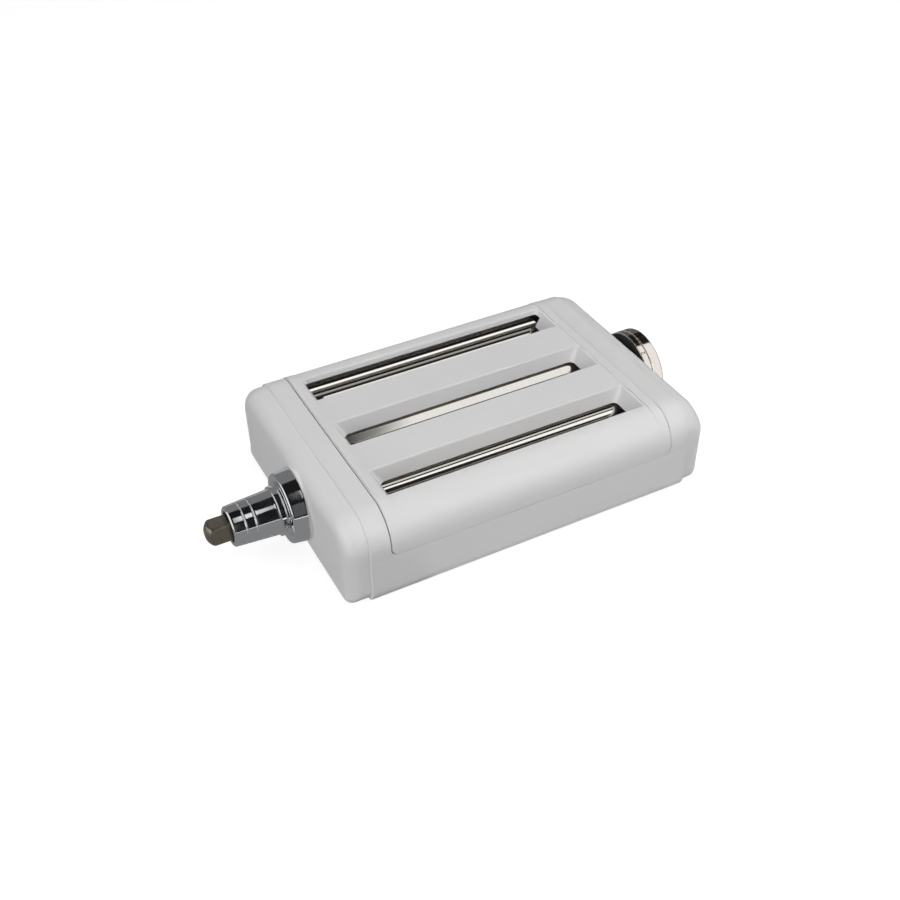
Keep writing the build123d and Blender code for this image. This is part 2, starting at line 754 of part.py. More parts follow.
scrapers("front_scrapers", (
    (front_front_y, front_axis_height, front_radius, 1), (front_rear_y, front_axis_height, front_radius, -1)))
scrapers("back_scrapers", (
    (back_front_y, back_axis_height, back_radius, 1), (back_rear_y, back_axis_height, back_radius, -1)))
scrapers("sheet_scraper", ((sheet_front_y, axis_height, sheet_radius, 1),))

with BuildPart() as carriage_scraper:
    foot = (bar_front - face_gap, arm_low + scraper_thickness)
    blade = blade_section(-arm_inner, sheet_rear_y, sheet_rear_height, sheet_radius, -1, *foot)
    extrude(blade, amount=2 * arm_inner)
save(carriage_scraper, "carriage_scraper")


# Thickness dial: spiral cam, spindle, friction washer, dial ring and grip
def spiral(turn, offset):
    """Point of the cam groove's edge for a dial angle, offset from the groove's middle."""
    radius = sheet_rear_y - dial_y - sheet_travel * turn / dial_turn + offset
    return (radius * cos(radians(-turn)), radius * sin(radians(-turn)))


groove_half = follower_radius + groove_slack
groove_turns = [dial_turn * step / groove_steps for step in range(groove_steps + 1)]

with BuildPart() as cam_disc:
    with Locations(along_x(cam_face, dial_y, dial_z)):
        Cylinder(cam_radius, cam_thickness, align=SEAT)
    with BuildSketch(along_x(cam_face, dial_y, dial_z)):
        with BuildLine():
            Spline(*[spiral(turn, groove_half) for turn in groove_turns])
            Spline(*[spiral(turn, -groove_half) for turn in groove_turns])
            Line(spiral(0, groove_half), spiral(0, -groove_half))
            Line(spiral(dial_turn, groove_half), spiral(dial_turn, -groove_half))
        make_face()
        with Locations(spiral(0, 0), spiral(dial_turn, 0)):
            Circle(groove_half)
    extrude(amount=groove_depth, mode=Mode.SUBTRACT)
save(cam_disc, "cam_disc")

with BuildPart() as dial_spindle:
    with Locations(along_x(cam_back, dial_y, dial_z)):
        Cylinder(spindle_radius, spindle_end - cam_back, align=SEAT)
        Cylinder(screw_radius + face_gap, spindle_end - cam_back, align=SEAT, mode=Mode.SUBTRACT)
save(dial_spindle, "dial_spindle")

washer_start = cam_back + fit_gap
washer_end = inner_boss - fit_gap
with BuildPart() as friction_washer:
    with BuildSketch(turning_plane(dial_y, dial_z)):
        with BuildLine():
            Polyline((washer_start, inner_boss_radius), (washer_start + washer_thickness, inner_boss_radius),
                     (washer_end, spindle_radius + fit_gap),
                     (washer_end - washer_thickness, spindle_radius + fit_gap), close=True)
        make_face()
    revolve(axis=Axis((0, dial_y, dial_z), (1, 0, 0)))
save(friction_washer, "friction_washer")

with BuildPart() as dial_ring:
    with BuildSketch(turning_plane(dial_y, dial_z)):
        with BuildLine():
            Polyline((knob_start, spindle_radius + press_gap), (knob_start, knob_radius - knob_chamfer),
                     (knob_start + knob_chamfer, knob_radius), (knob_start + dial_ring_width, knob_radius),
                     (knob_start + dial_ring_width, knob_radius - knob_chamfer),
                     (grip_start, knob_radius - knob_chamfer), (grip_start, spindle_radius + press_gap),
                     close=True)
        make_face()
    revolve(axis=Axis((0, dial_y, dial_z), (1, 0, 0)))
save(dial_ring, "dial_ring")

with BuildPart() as dial_grip:
    with BuildSketch(turning_plane(dial_y, dial_z)):
        with BuildLine():
            Polyline((grip_start, spindle_radius + press_gap), (grip_start, knob_radius),
                     (grip_end - knob_chamfer, knob_radius), (grip_end, knob_radius - knob_chamfer),
                     (grip_end, dish_radius), (grip_end - dish_depth, dish_radius - dish_depth),
                     (grip_end - dish_depth, grip_hub_radius + grip_hub_edge),
                     (grip_end - dish_depth + grip_hub_edge, grip_hub_radius),
                     (spindle_end, grip_hub_radius - grip_hub_edge), (spindle_end, spindle_radius + press_gap),
                     close=True)
        make_face()
    revolve(axis=Axis((0, dial_y, dial_z), (1, 0, 0)))
save(dial_grip, "dial_grip")


# Drive shank: stepped flange, register land and tapered barrel, bored for its bush
with BuildPart() as drive_shank:
    with BuildSketch(turning_plane(sheet_front_y, axis_height)):
        with BuildLine():
            Polyline((-cap_inner, shank_bore), (-cap_inner, spigot_radius), (-flange_back, spigot_radius),
                     (-flange_back, flange_radius), (-flange_back - flange_rim, flange_radius),
                     (-flange_face, flange_face_radius), (-flange_face, collar_radius),
                     (-collar_face, collar_radius), (-collar_face, register_radius),
                     (-register_end, register_radius), (-register_end, barrel_root),
                     (-shank_tip + barrel_chamfer, barrel_tip), (-shank_tip, barrel_tip - barrel_chamfer),
                     (-shank_tip, shank_bore), close=True)
        make_face()
    revolve(axis=Axis((0, sheet_front_y, axis_height), (1, 0, 0)))
    with BuildSketch(turning_plane(sheet_front_y, axis_height)):
        for back in scribe_back:
            taper = barrel_tip + (barrel_root - barrel_tip) * back / (shank_tip - register_end)
            with Locations((-shank_tip + back, taper)):
                Rectangle(scribe_width, 2 * scribe_depth)
    revolve(axis=Axis((0, sheet_front_y, axis_height), (1, 0, 0)), mode=Mode.SUBTRACT)
    with Locations((-flange_face - lug_height, sheet_front_y - lug_reach, axis_height)):
        Box(lug_height, lug_reach - lug_root, lug_width, align=(Align.MIN, Align.MIN, Align.CENTER))
    with Locations(along_x(-flange_back - shank_screw_reach, sheet_front_y, axis_height)):
        with PolarLocations(shank_screw_circle, 3):
            Cylinder(screw_radius + face_gap, shank_screw_reach, align=SEAT, mode=Mode.SUBTRACT)
save(drive_shank, "drive_shank")

with BuildPart() as shank_bush:
    with Locations(along_x(-shank_tip + shank_bush_end, sheet_front_y, axis_height)):
        Cylinder(shank_bore - press_gap, shank_tip - shank_bush_end - flange_back, align=SEAT)
        Cylinder(drive_journal + run_clearance, shank_tip - shank_bush_end - flange_back, align=SEAT,
                 mode=Mode.SUBTRACT)
save(shank_bush, "shank_bush")


# Screws
shank_screw_length = flange_back - cap_inner + shank_screw_reach - tap_runout


def screw_group(label, heads):
    """Pan head screws, each (plane under the head pointing along the shank, head radius, shank length)."""
    with BuildPart() as screws:
        for seat, head_radius, head_height, reach in heads:
            with Locations(seat):
                Cylinder(head_radius, head_height, align=HANG)
                Cylinder(screw_radius, reach, align=SEAT)
    save(screws, label)


def facing(x, y, z, side):
    """Plane whose normal points along X to one side."""
    return Plane(origin=(x, y, z), x_dir=(0, 1, 0), z_dir=(side, 0, 0))


screw_group("plate_screws", [
    (facing(side * (plate_outer + face_gap), y, z, -side), screw_head_radius, screw_head, screw_length)
    for side in (-1, 1) for y, z in rod_places + bar_places])
screw_group("gear_plate_screws", [
    (facing(-train_bearing - face_gap, y, z, 1), screw_head_radius, screw_head, screw_length)
    for y, z in standoff_places])
screw_group("base_screws", [
    (Plane(origin=(x, y, counterbore - face_gap)), base_screw_head_radius, counterbore - base_screw_rise,
     base_screw_length)
    for x in (-base_screw_x, base_screw_x) for y in (-bar_y, bar_y)])
screw_group("shank_screws", [
    (facing(-cap_inner + face_gap, sheet_front_y + shank_screw_circle * cos(radians(angle)),
            axis_height + shank_screw_circle * sin(radians(angle)), -1),
     screw_head_radius, screw_head, shank_screw_length)
    for angle in (0, 120, 240)])
screw_group("dial_screw", [
    (facing(spindle_end + face_gap, dial_y, dial_z, -1), dial_screw_radius, dial_screw_head, screw_length)])
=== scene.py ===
"""Finished surfaces of a three-slot pasta roller: moulded shells, rollers, plated shank and dial."""
import json
import math

import bmesh
import bpy
from mathutils import Matrix, Vector

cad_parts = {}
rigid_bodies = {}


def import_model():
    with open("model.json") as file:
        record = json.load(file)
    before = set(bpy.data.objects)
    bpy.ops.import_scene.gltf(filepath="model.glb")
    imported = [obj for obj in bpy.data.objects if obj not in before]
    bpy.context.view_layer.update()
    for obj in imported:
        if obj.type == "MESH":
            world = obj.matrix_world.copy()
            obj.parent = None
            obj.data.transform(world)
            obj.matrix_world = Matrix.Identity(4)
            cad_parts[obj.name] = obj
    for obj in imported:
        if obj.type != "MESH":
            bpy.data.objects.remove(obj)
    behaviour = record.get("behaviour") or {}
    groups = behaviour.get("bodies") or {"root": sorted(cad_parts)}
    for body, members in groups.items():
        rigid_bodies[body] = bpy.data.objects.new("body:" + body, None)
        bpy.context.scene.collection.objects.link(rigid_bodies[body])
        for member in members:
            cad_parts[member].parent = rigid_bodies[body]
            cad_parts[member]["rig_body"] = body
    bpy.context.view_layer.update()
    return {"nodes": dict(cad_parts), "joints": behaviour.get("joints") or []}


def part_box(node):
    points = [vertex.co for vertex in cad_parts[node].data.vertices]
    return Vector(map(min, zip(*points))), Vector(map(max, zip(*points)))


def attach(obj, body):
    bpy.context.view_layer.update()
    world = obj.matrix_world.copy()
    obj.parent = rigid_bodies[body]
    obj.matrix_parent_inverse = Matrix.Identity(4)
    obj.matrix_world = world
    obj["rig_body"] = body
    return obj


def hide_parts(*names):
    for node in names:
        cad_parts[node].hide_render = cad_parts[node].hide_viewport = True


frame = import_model()

bl_info = {
    "name": "Pasta Roller",
    "version": (1, 0, 0),
    "blender": (4, 5, 0),
    "location": "View3D > Sidebar > Pasta Roller",
    "description": "Builds the finished surfaces of a pasta roller around its fixed frame",
    "category": "Object",
}

MM = 0.001
# Points closer together than this are one point, and corners that would ease by less stay sharp
WELD = 0.001 * MM
LEAST_ROUND = 0.005 * MM
# Middle of a pattern's range, over which a finish goes from one value to the other
PATTERN_LOW, PATTERN_HIGH = 0.3, 0.7
MIDDLE = sum(corner.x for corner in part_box("top_cover")) / 2
SHANK_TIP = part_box("drive_shank")[0].x
SHANK_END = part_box("drive_shank")[1].x
JOINTS = {joint["name"]: joint for joint in frame["joints"]}
DRIVE_AXIS = Vector(JOINTS["drive_spin"]["pos_m"])
DIAL_AXIS = Vector(JOINTS["thickness_dial"]["pos_m"])


# Sizes and colours that a user would change
class RollerSizes(bpy.types.PropertyGroup):
    """Sizes of the finished surfaces."""

    segments: bpy.props.IntProperty(
        name="Segments", description="Sides of every turned surface", default=144, min=24)
    edge_angle: bpy.props.FloatProperty(
        name="Edge angle", description="Edges sharper than this stay crisp", default=math.radians(32),
        subtype="ANGLE")
    roller_length: bpy.props.FloatProperty(
        name="Roller length", description="Length of a roller between its journals", default=153 * MM,
        unit="LENGTH")
    edge_round: bpy.props.FloatProperty(
        name="Edge round", description="Rounding of turned edges", default=0.35 * MM, unit="LENGTH")
    settings: bpy.props.IntProperty(
        name="Settings", description="Numbers on the thickness dial", default=8, min=2)
    digit_height: bpy.props.FloatProperty(
        name="Digit height", description="Height of the dial's numbers", default=2.6 * MM, unit="LENGTH")
    first_digit: bpy.props.FloatProperty(
        name="First digit", description="Angle of the dial's first number, from the back over the top",
        default=math.radians(76.8), subtype="ANGLE")
    recess_reach: bpy.props.FloatProperty(
        name="Recess reach", description="Reach of a screw's cross recess", default=2.0 * MM, unit="LENGTH")


class RollerColours(bpy.types.PropertyGroup):
    """Colours of the finished surfaces and of the floor, as sRGB hex codes."""

    housing: bpy.props.StringProperty(
        name="Housing", description="White moulded plastic", default="#E6E5E5")
    chrome: bpy.props.StringProperty(
        name="Shank", description="Chrome plate of the drive shank", default="#E3E5E8")
    roller: bpy.props.StringProperty(
        name="Rollers", description="Polished stainless steel", default="#E8E5DF")
    dial: bpy.props.StringProperty(
        name="Dial", description="Polished nickel of the thickness dial", default="#E8E0DA")
    tip: bpy.props.StringProperty(
        name="Drive tip", description="Oiled steel of the drive square", default="#A0968A")
    floor: bpy.props.StringProperty(
        name="Floor", description="Studio floor", default="#A2A2A2")


# Finishes
finishes = {}


def linear(code):
    """Linear colour with alpha from an sRGB hex code."""
    channels = [int(code[i:i + 2], 16) / 255 for i in (1, 3, 5)]
    return [c / 12.92 if c <= 0.04045 else ((c + 0.055) / 1.055) ** 2.4 for c in channels] + [1.0]


def put(tree, kind, inputs=None, **settings):
    """Add a node, set its properties, and set or link its inputs."""
    made = tree.nodes.new(kind)
    for key, value in settings.items():
        setattr(made, key, value)
    for key, value in (inputs or {}).items():
        if isinstance(value, bpy.types.NodeSocket):
            tree.links.new(value, made.inputs[key])
        else:
            made.inputs[key].default_value = value
    return made


def start_finish(name, **constants):
    """New material, its tree, its Principled shader and the piece's own coordinates."""
    finish = bpy.data.materials.new(name)
    finish.use_nodes = True
    tree = finish.node_tree
    surface = tree.nodes["Principled BSDF"]
    for key, value in constants.items():
        surface.inputs[key.replace("_", " ")].default_value = value
    return finish, tree, surface, put(tree, "ShaderNodeTexCoord").outputs["Object"]


def vary(tree, source, low, high, socket):
    """Drive a shader number between two values by the middle of a pattern's range."""
    spread = put(tree, "ShaderNodeMapRange", {
        "Value": source, "From Min": PATTERN_LOW, "From Max": PATTERN_HIGH, "To Min": low, "To Max": high})
    tree.links.new(spread.outputs["Result"], socket)


def two_tones(tree, source, dark, light, socket):
    """Drive a shader colour between two tones by a pattern."""
    tones = put(tree, "ShaderNodeValToRGB", {"Fac": source})
    tones.color_ramp.elements[0].color = dark
    tones.color_ramp.elements[0].position = PATTERN_LOW
    tones.color_ramp.elements[1].color = light
    tones.color_ramp.elements[1].position = PATTERN_HIGH
    tree.links.new(tones.outputs["Color"], socket)


def raise_up(tree, source, strength, depth, surface):
    """Give a surface a fine relief of a real depth."""
    relief = put(tree, "ShaderNodeBump", {"Height": source, "Strength": strength, "Distance": depth})
    tree.links.new(relief.outputs["Normal"], surface.inputs["Normal"])


def moulded_abs(code):
    """White ABS from a spark-eroded mould: broad soft highlights over a fine even grain."""
    finish, tree, surface, place = start_finish("moulded_abs", IOR=1.53)
    cloud = put(tree, "ShaderNodeTexNoise", {"Vector": place, "Scale": 1 / (40 * MM), "Detail": 2.0})
    shade = [c * 0.975 for c in linear(code)[:3]] + [1.0]
    two_tones(tree, cloud.outputs["Fac"], shade, linear(code), surface.inputs["Base Color"])
    vary(tree, cloud.outputs["Fac"], 0.36, 0.44, surface.inputs["Roughness"])
    # The real grain is about 0.1 mm; it is drawn at 0.5 mm so that it shows
    grain = put(tree, "ShaderNodeTexNoise", {"Vector": place, "Scale": 1 / (0.5 * MM), "Detail": 1.0})
    raise_up(tree, grain.outputs["Fac"], 0.1, 0.02 * MM, surface)
    return finish


def plated(name, code, rough, ripple):
    """Bright plate over turned metal: a clear mirror with wiping marks and a slight ripple."""
    finish, tree, surface, place = start_finish(name, Base_Color=linear(code), Metallic=1.0)
    marks = put(tree, "ShaderNodeTexNoise", {"Vector": place, "Scale": 1 / (6 * MM), "Detail": 4.0})
    vary(tree, marks.outputs["Fac"], rough, rough + 0.06, surface.inputs["Roughness"])
    waves = put(tree, "ShaderNodeTexNoise", {"Vector": place, "Scale": 1 / (8 * MM), "Detail": 1.0})
    raise_up(tree, waves.outputs["Fac"], 0.3, ripple, surface)
    return finish


def turned(name, dark, light, rough, spacing, relief=0.15):
    """Ground or turned steel: fine lines round the X axis, which draw the highlights out along it."""
    finish, tree, surface, place = start_finish(name, Metallic=1.0)
    along = put(tree, "ShaderNodeMapping", {"Vector": place, "Scale": (1.0, 0.03, 0.03)})
    lines = put(tree, "ShaderNodeTexNoise", {
        "Vector": along.outputs["Vector"], "Scale": 1 / spacing, "Detail": 3.0})
    two_tones(tree, lines.outputs["Fac"], linear(dark), linear(light), surface.inputs["Base Color"])
    vary(tree, lines.outputs["Fac"], rough, rough * 1.3 + 0.02, surface.inputs["Roughness"])
    raise_up(tree, lines.outputs["Fac"], relief, 0.01 * MM, surface)
    return finish


def mottled(name, dark, light, rough, metallic, size):
    """Plain inner metal or plastic, with the patchy tone of zinc plate, bronze powder or acetal."""
    finish, tree, surface, place = start_finish(name, Metallic=metallic)
    patches = put(tree, "ShaderNodeTexVoronoi", {"Vector": place, "Scale": 1 / size}, feature="SMOOTH_F1")
    two_tones(tree, patches.outputs["Distance"], linear(dark), linear(light), surface.inputs["Base Color"])
    vary(tree, patches.outputs["Distance"], rough, rough + 0.1, surface.inputs["Roughness"])
    return finish


def rubbed_enamel():
    """Black enamel rubbed into engraving: dull, with a little dust in it."""
    finish, tree, surface, place = start_finish("rubbed_enamel", Roughness=0.55)
    dust = put(tree, "ShaderNodeTexNoise", {"Vector": place, "Scale": 1 / (0.5 * MM), "Detail": 2.0})
    two_tones(tree, dust.outputs["Fac"], linear("#121110"), linear("#2A2826"), surface.inputs["Base Color"])
    return finish


def make_finishes(tint):
    """Make every finish once, named by the slot that it fills."""
    finishes.update({
        "white_plastic": moulded_abs(tint.housing),
        "shank_chrome": plated("chrome_plate", tint.chrome, 0.05, 0.02 * MM),
        "dial_chrome": plated("polished_nickel", tint.dial, 0.07, 0.012 * MM),
        "roller_steel": turned("polished_stainless", "#E2DED7", tint.roller, 0.025, 0.4 * MM, 0.04),
        "drive_steel": turned("oiled_tool_steel", "#8E8477", tint.tip, 0.26, 0.5 * MM),
        "gear_steel": turned("hobbed_gear_steel", "#8F9092", "#A8A9AB", 0.32, 0.6 * MM),
        "bronze": mottled("sintered_bronze", "#8A6A38", "#A98852", 0.4, 1.0, 0.9 * MM),
        "plate_steel": mottled("zinc_plated_steel", "#A3A6A9", "#C2C5C7", 0.34, 1.0, 3.0 * MM),
        "bearing_plastic": mottled("moulded_acetal", "#E0DED6", "#EAE8E0", 0.42, 0.0, 6.0 * MM),
        "scraper_plastic": mottled("moulded_polypropylene", "#D6D4CC", "#E0DED6", 0.45, 0.0, 6.0 * MM),
        "screw_steel": mottled("bright_zinc_screw", "#ABAFB3", "#CBCFD2", 0.28, 1.0, 0.8 * MM),
        "engraving": rubbed_enamel(),
    })


# Mesh helpers
def bmesh_of(mesh):
    """Editable copy of a mesh."""
    bm = bmesh.new()
    bm.from_mesh(mesh)
    return bm


def close_mesh(bm, name):
    """Merge a bmesh's doubles, face it outwards and make it a mesh, smooth between crisp edges."""
    bmesh.ops.remove_doubles(bm, verts=bm.verts, dist=WELD)
    bmesh.ops.recalc_face_normals(bm, faces=bm.faces)
    crisp = bpy.context.scene.roller_sizes.edge_angle
    for face in bm.faces:
        face.smooth = True
    for edge in bm.edges:
        edge.smooth = edge.calc_face_angle(0.0) < crisp
    mesh = bpy.data.meshes.new(name)
    bm.to_mesh(mesh)
    bm.free()
    return mesh


def plain_mesh(carrier):
    """Mesh of an object after its modifiers; the object itself goes."""
    bpy.context.scene.collection.objects.link(carrier)
    graph = bpy.context.evaluated_depsgraph_get()
    mesh = bpy.data.meshes.new_from_object(carrier.evaluated_get(graph))
    bpy.data.objects.remove(carrier)
    return mesh


def carved(name, blank, *steps):
    """Bmesh left by cutting and joining, in (operation, bmesh) steps."""
    carrier = bpy.data.objects.new(name, close_mesh(blank, name + "_blank"))
    tools = []
    for operation, bm in steps:
        bmesh.ops.recalc_face_normals(bm, faces=bm.faces)
        mesh = bpy.data.meshes.new(name + "_tool")
        bm.to_mesh(mesh)
        bm.free()
        tools.append(bpy.data.objects.new(name + "_tool", mesh))
        modifier = carrier.modifiers.new(operation.lower(), "BOOLEAN")
        modifier.operation = operation
        modifier.object = tools[-1]
        modifier.solver = "EXACT"
    made = bmesh_of(plain_mesh(carrier))
    for tool in tools:
        bpy.data.objects.remove(tool)
    return made


def add_piece(name, bm, body, slot, *nodes):
    """Show a bmesh as a piece that rides a body, takes a slot's finish and stands for nodes."""
    mesh = close_mesh(bm, name)
    mesh.materials.append(finishes[slot])
    piece = bpy.data.objects.new(name, mesh)
    bpy.context.scene.collection.objects.link(piece)
    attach(piece, body)
    if nodes:
        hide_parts(*nodes)


def body_of(node):
    """Body that a CAD node rides on."""
    return frame["nodes"][node]["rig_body"]


def loose_boxes(node):
    """Lowest and highest corners of each separate solid of a CAD node."""
    bm = bmesh_of(frame["nodes"][node].data)
    bmesh.ops.remove_doubles(bm, verts=bm.verts, dist=WELD)
    left, boxes = set(bm.verts), []
    while left:
        edge, solid = [left.pop()], []
        while edge:
            vertex = edge.pop()
            solid.append(vertex.co.copy())
            near = [link.other_vert(vertex) for link in vertex.link_edges]
            fresh = [other for other in near if other in left]
            left.difference_update(fresh)
            edge.extend(fresh)
        boxes.append((Vector([min(c) for c in zip(*solid)]), Vector([max(c) for c in zip(*solid)])))
    bm.free()
    return sorted(boxes, key=lambda box: tuple(box[0]))


def lathe(profile, axis, segments, bm=None):
    """Turn a closed profile of (x, radius) points about an axis along X, in a given or a new bmesh.

    A zero radius closes a pole.
    """
    if bm is None:
        bm = bmesh.new()
    angles = [2 * math.pi * k / segments for k in range(segments)]
    rings = []
    for x, radius in profile:
        if radius < WELD:
            rings.append([bm.verts.new((x, axis.y, axis.z))] * segments)
            continue
        rings.append([
            bm.verts.new((x, axis.y + radius * math.cos(a), axis.z + radius * math.sin(a))) for a in angles])
    for one, two in zip(rings, rings[1:] + rings[:1]):
        for k in range(segments):
            corners = [one[k], one[k - 1], two[k - 1], two[k]]
            unique = [v for i, v in enumerate(corners) if v not in corners[:i]]
            if len(unique) > 2:
                bm.faces.new(unique)
    return bm


def skin(bm, rings):
    """Close a row of rings with faces along their sides and over both ends."""
    bm.faces.new(rings[0])
    bm.faces.new(rings[-1])
    for one, two in zip(rings, rings[1:]):
        for k in range(len(one)):
            bm.faces.new((one[k], one[k - 1], two[k - 1], two[k]))


def eased(points, radius, steps=4, share=0.4, hold=0.1):
    """Closed profile with its corners eased by small arcs, each held by a point close before and after.

    An arc takes at most a share of a side, and points on the axis stay. The holding points, a little way
    on towards the next corner, keep the long runs between the arcs free of the arcs' shading.
    """
    out = []
    for i, point in enumerate(points):
        here, before, after = Vector(point), Vector(points[i - 1]), Vector(points[(i + 1) % len(points)])
        size = min(radius, (before - here).length * share, (after - here).length * share)
        if here.y < WELD or size < LEAST_ROUND:
            out.append(tuple(here))
            continue
        start = here + (before - here).normalized() * size
        end = here + (after - here).normalized() * size
        out.append(tuple(start.lerp(before, hold)))
        for k in range(steps + 1):
            turn = k / steps
            out.append(tuple(start.lerp(here, turn).lerp(here.lerp(end, turn), turn)))
        out.append(tuple(end.lerp(after, hold)))
    return out


class PASTA_OT_shells(bpy.types.Operator):
    """Give every CAD piece its own finish, moulded shells first"""

    bl_idname = "pasta.shells"
    bl_label = "Shells and inner works"

    # Ends of the front feed slot, at the skin and at the throat: half its length and its height there
    slot_middle = 19.55 * MM
    slot_ends = ((75.52 * MM, 50.2 * MM), (72.5 * MM, 44.5 * MM))
    gusset_front = -55.4 * MM
    gusset_back = -50.2 * MM
    gusset_wall = 2.0 * MM
    # Right of seam_side is the left shoulder's edge at the cover, which is drawn back to open the seam
    seam_side = -65.0 * MM
    seam_opening = 0.3 * MM

    def execute(self, context):
        """Swap each node's plain material for the finish of its slot, then finish the shells."""
        make_finishes(context.scene.roller_colours)
        for node in frame["nodes"].values():
            slot = node.data.materials[0].name
            node.data.materials[0] = finishes[slot]
        self.close_slot()
        self.open_seam()
        return {"FINISHED"}

    def close_slot(self):
        """Gussets at both ends of the front feed slot, under its front edge."""
        bm = bmesh.new()
        loop = [*self.slot_ends, *[(half + self.gusset_wall, z) for half, z in reversed(self.slot_ends)]]
        for side in (-1, 1):
            skin(bm, [
                [bm.verts.new((self.slot_middle + side * half, y, z)) for half, z in loop]
                for y in (self.gusset_front, self.gusset_back)])
        add_piece("front_slot_gussets", bm, body_of("top_cover"), "white_plastic")

    def open_seam(self):
        """Left shoulder, its edge drawn back from the cover by the opening of the seam."""
        bm = bmesh_of(frame["nodes"]["left_shoulder"].data)
        for vertex in bm.verts:
            if vertex.co.x > self.seam_side:
                vertex.co.x -= self.seam_opening
        add_piece("left_shoulder_moulded", bm, body_of("left_shoulder"), "white_plastic", "left_shoulder")


class PASTA_OT_caps(bpy.types.Operator):
    """Mould the two end caps with their soft rims, bosses and bores"""

    bl_idname = "pasta.caps"
    bl_label = "End caps"

    wall = 3.0 * MM
    wall_lean = 1.0 * MM
    top_corner = 17.0 * MM
    base_corner = 9.0 * MM
    corner_steps = 24
    half_depth = 74.0 * MM
    # Rounding of the rim along the top, down the sides and along the base
    drive_rims = (9.0 * MM, 8.0 * MM, 4.0 * MM)
    dial_rims = (12.5 * MM, 8.0 * MM, 6.0 * MM)
    inner_rims = (5.0 * MM, 5.0 * MM, 5.0 * MM)
    rim_steps = 16
    # The drive cap's box reaches past its end face by drive_boss; the low seat on that face is what shows
    drive_boss = 2.7 * MM
    drive_seat = 0.8 * MM
    drive_seat_radius = 21.2 * MM
    spigot_bore = 12.55 * MM
    screw_bore = 1.7 * MM
    screw_circle = 16.0 * MM
    screw_count = 3
    dial_boss = 1.2 * MM
    dial_boss_radius = 15.0 * MM
    inner_boss = 6.4 * MM
    inner_boss_radius = 9.0 * MM
    spindle_bore = 5.05 * MM
    draft = 0.4 * MM

    def execute(self, context):
        """Drive cap round the shank's flange, dial cap round the dial's spindle."""
        sides = context.scene.roller_sizes.segments
        low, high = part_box("drive_end_cap")
        joint, end = high.x, low.x + self.drive_boss
        inside = end + self.wall
        holes = [(DRIVE_AXIS, self.spigot_bore)]
        for k in range(self.screw_count):
            turn = 2 * math.pi * k / self.screw_count
            place = DRIVE_AXIS + Vector((0, math.cos(turn), math.sin(turn))) * self.screw_circle
            holes.append((place, self.screw_bore))
        bosses = [(DRIVE_AXIS, end + self.wall / 2, end - self.drive_seat, self.drive_seat_radius)]
        self.mould("drive_end_cap", sides, joint, end, self.drive_rims, bosses, holes, inside)
        low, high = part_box("dial_end_cap")
        joint, end = 2 * MIDDLE - joint, high.x - self.dial_boss
        inside = end - self.wall
        bosses = [
            (DIAL_AXIS, end - self.wall / 2, high.x, self.dial_boss_radius),
            (DIAL_AXIS, end - self.wall / 2, inside - self.inner_boss, self.inner_boss_radius)]
        self.mould("dial_end_cap", sides, joint, end, self.dial_rims, bosses,
                   [(DIAL_AXIS, self.spindle_bore)], inside - self.inner_boss)
        return {"FINISHED"}

    def mould(self, node, sides, joint, end, rims, bosses, holes, inner):
        """One cap: its cup, less the hollow, with its bosses and through holes."""
        low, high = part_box(node)
        way = math.copysign(1, end - joint)
        hollow = self.cup(self.outline(low.z, high.z, self.wall), joint - way * self.wall,
                          end - way * self.wall, self.inner_rims)
        steps = [("DIFFERENCE", hollow)]
        for axis, start, stop, radius in bosses:
            steps.append(("UNION", lathe([
                (start, 0.0), (start, radius), (stop, radius - self.draft), (stop, 0.0)], axis, sides)))
        beyond, behind = end + way * 2 * self.wall, inner - way * self.wall
        for axis, radius in holes:
            steps.append(("DIFFERENCE", lathe([
                (behind, 0.0), (behind, radius), (beyond, radius), (beyond, 0.0)], axis, sides // 2)))
        blank = self.cup(self.outline(low.z, high.z, 0.0), joint, end, rims)
        name = node + "_moulded"
        add_piece(name, carved(name, blank, *steps), body_of(node), "white_plastic", node)

    def outline(self, low, high, inset):
        """Points and outward directions round a box with leaning walls and round corners."""
        half = self.half_depth - inset
        bottom, top = low + inset, high - inset
        corners = [
            (half - self.wall_lean, bottom, self.base_corner), (half, top, self.top_corner - inset),
            (-half, top, self.top_corner - inset), (self.wall_lean - half, bottom, self.base_corner)]
        points = []
        for i, (y, z, radius) in enumerate(corners):
            here = Vector((y, z))
            back = (Vector(corners[i - 1][:2]) - here).normalized()
            ahead = (Vector(corners[(i + 1) % len(corners)][:2]) - here).normalized()
            middle = (back + ahead).normalized()
            half_angle = back.angle(ahead) / 2
            centre = here + middle * radius / math.sin(half_angle)
            start = (here + back * radius / math.tan(half_angle) - centre).normalized()
            end = (here + ahead * radius / math.tan(half_angle) - centre).normalized()
            for k in range(self.corner_steps + 1):
                out = start.slerp(end, k / self.corner_steps)
                points.append((centre + out * radius, out))
        return points

    def cup(self, outline, joint, end, rims):
        """Closed bmesh from the joint to the end, its rim rounded more or less by the way it faces."""
        bm = bmesh.new()
        side = math.copysign(1, end - joint)
        top, flank, base = rims
        rounds = []
        for point, out in outline:
            share = math.sin(abs(out.y) * math.pi / 2) ** 2
            rounds.append(flank + ((top if out.y > 0 else base) - flank) * share)
        rings = [[bm.verts.new((joint, point.x, point.y)) for point, out in outline]]
        for k in range(self.rim_steps + 1):
            turn = math.pi / 2 * k / self.rim_steps
            ring = []
            for (point, out), size in zip(outline, rounds):
                drawn = point - out * size * (1 - math.cos(turn))
                ring.append(bm.verts.new((end - side * size * (1 - math.sin(turn)), drawn.x, drawn.y)))
            rings.append(ring)
        skin(bm, rings)
        return bm


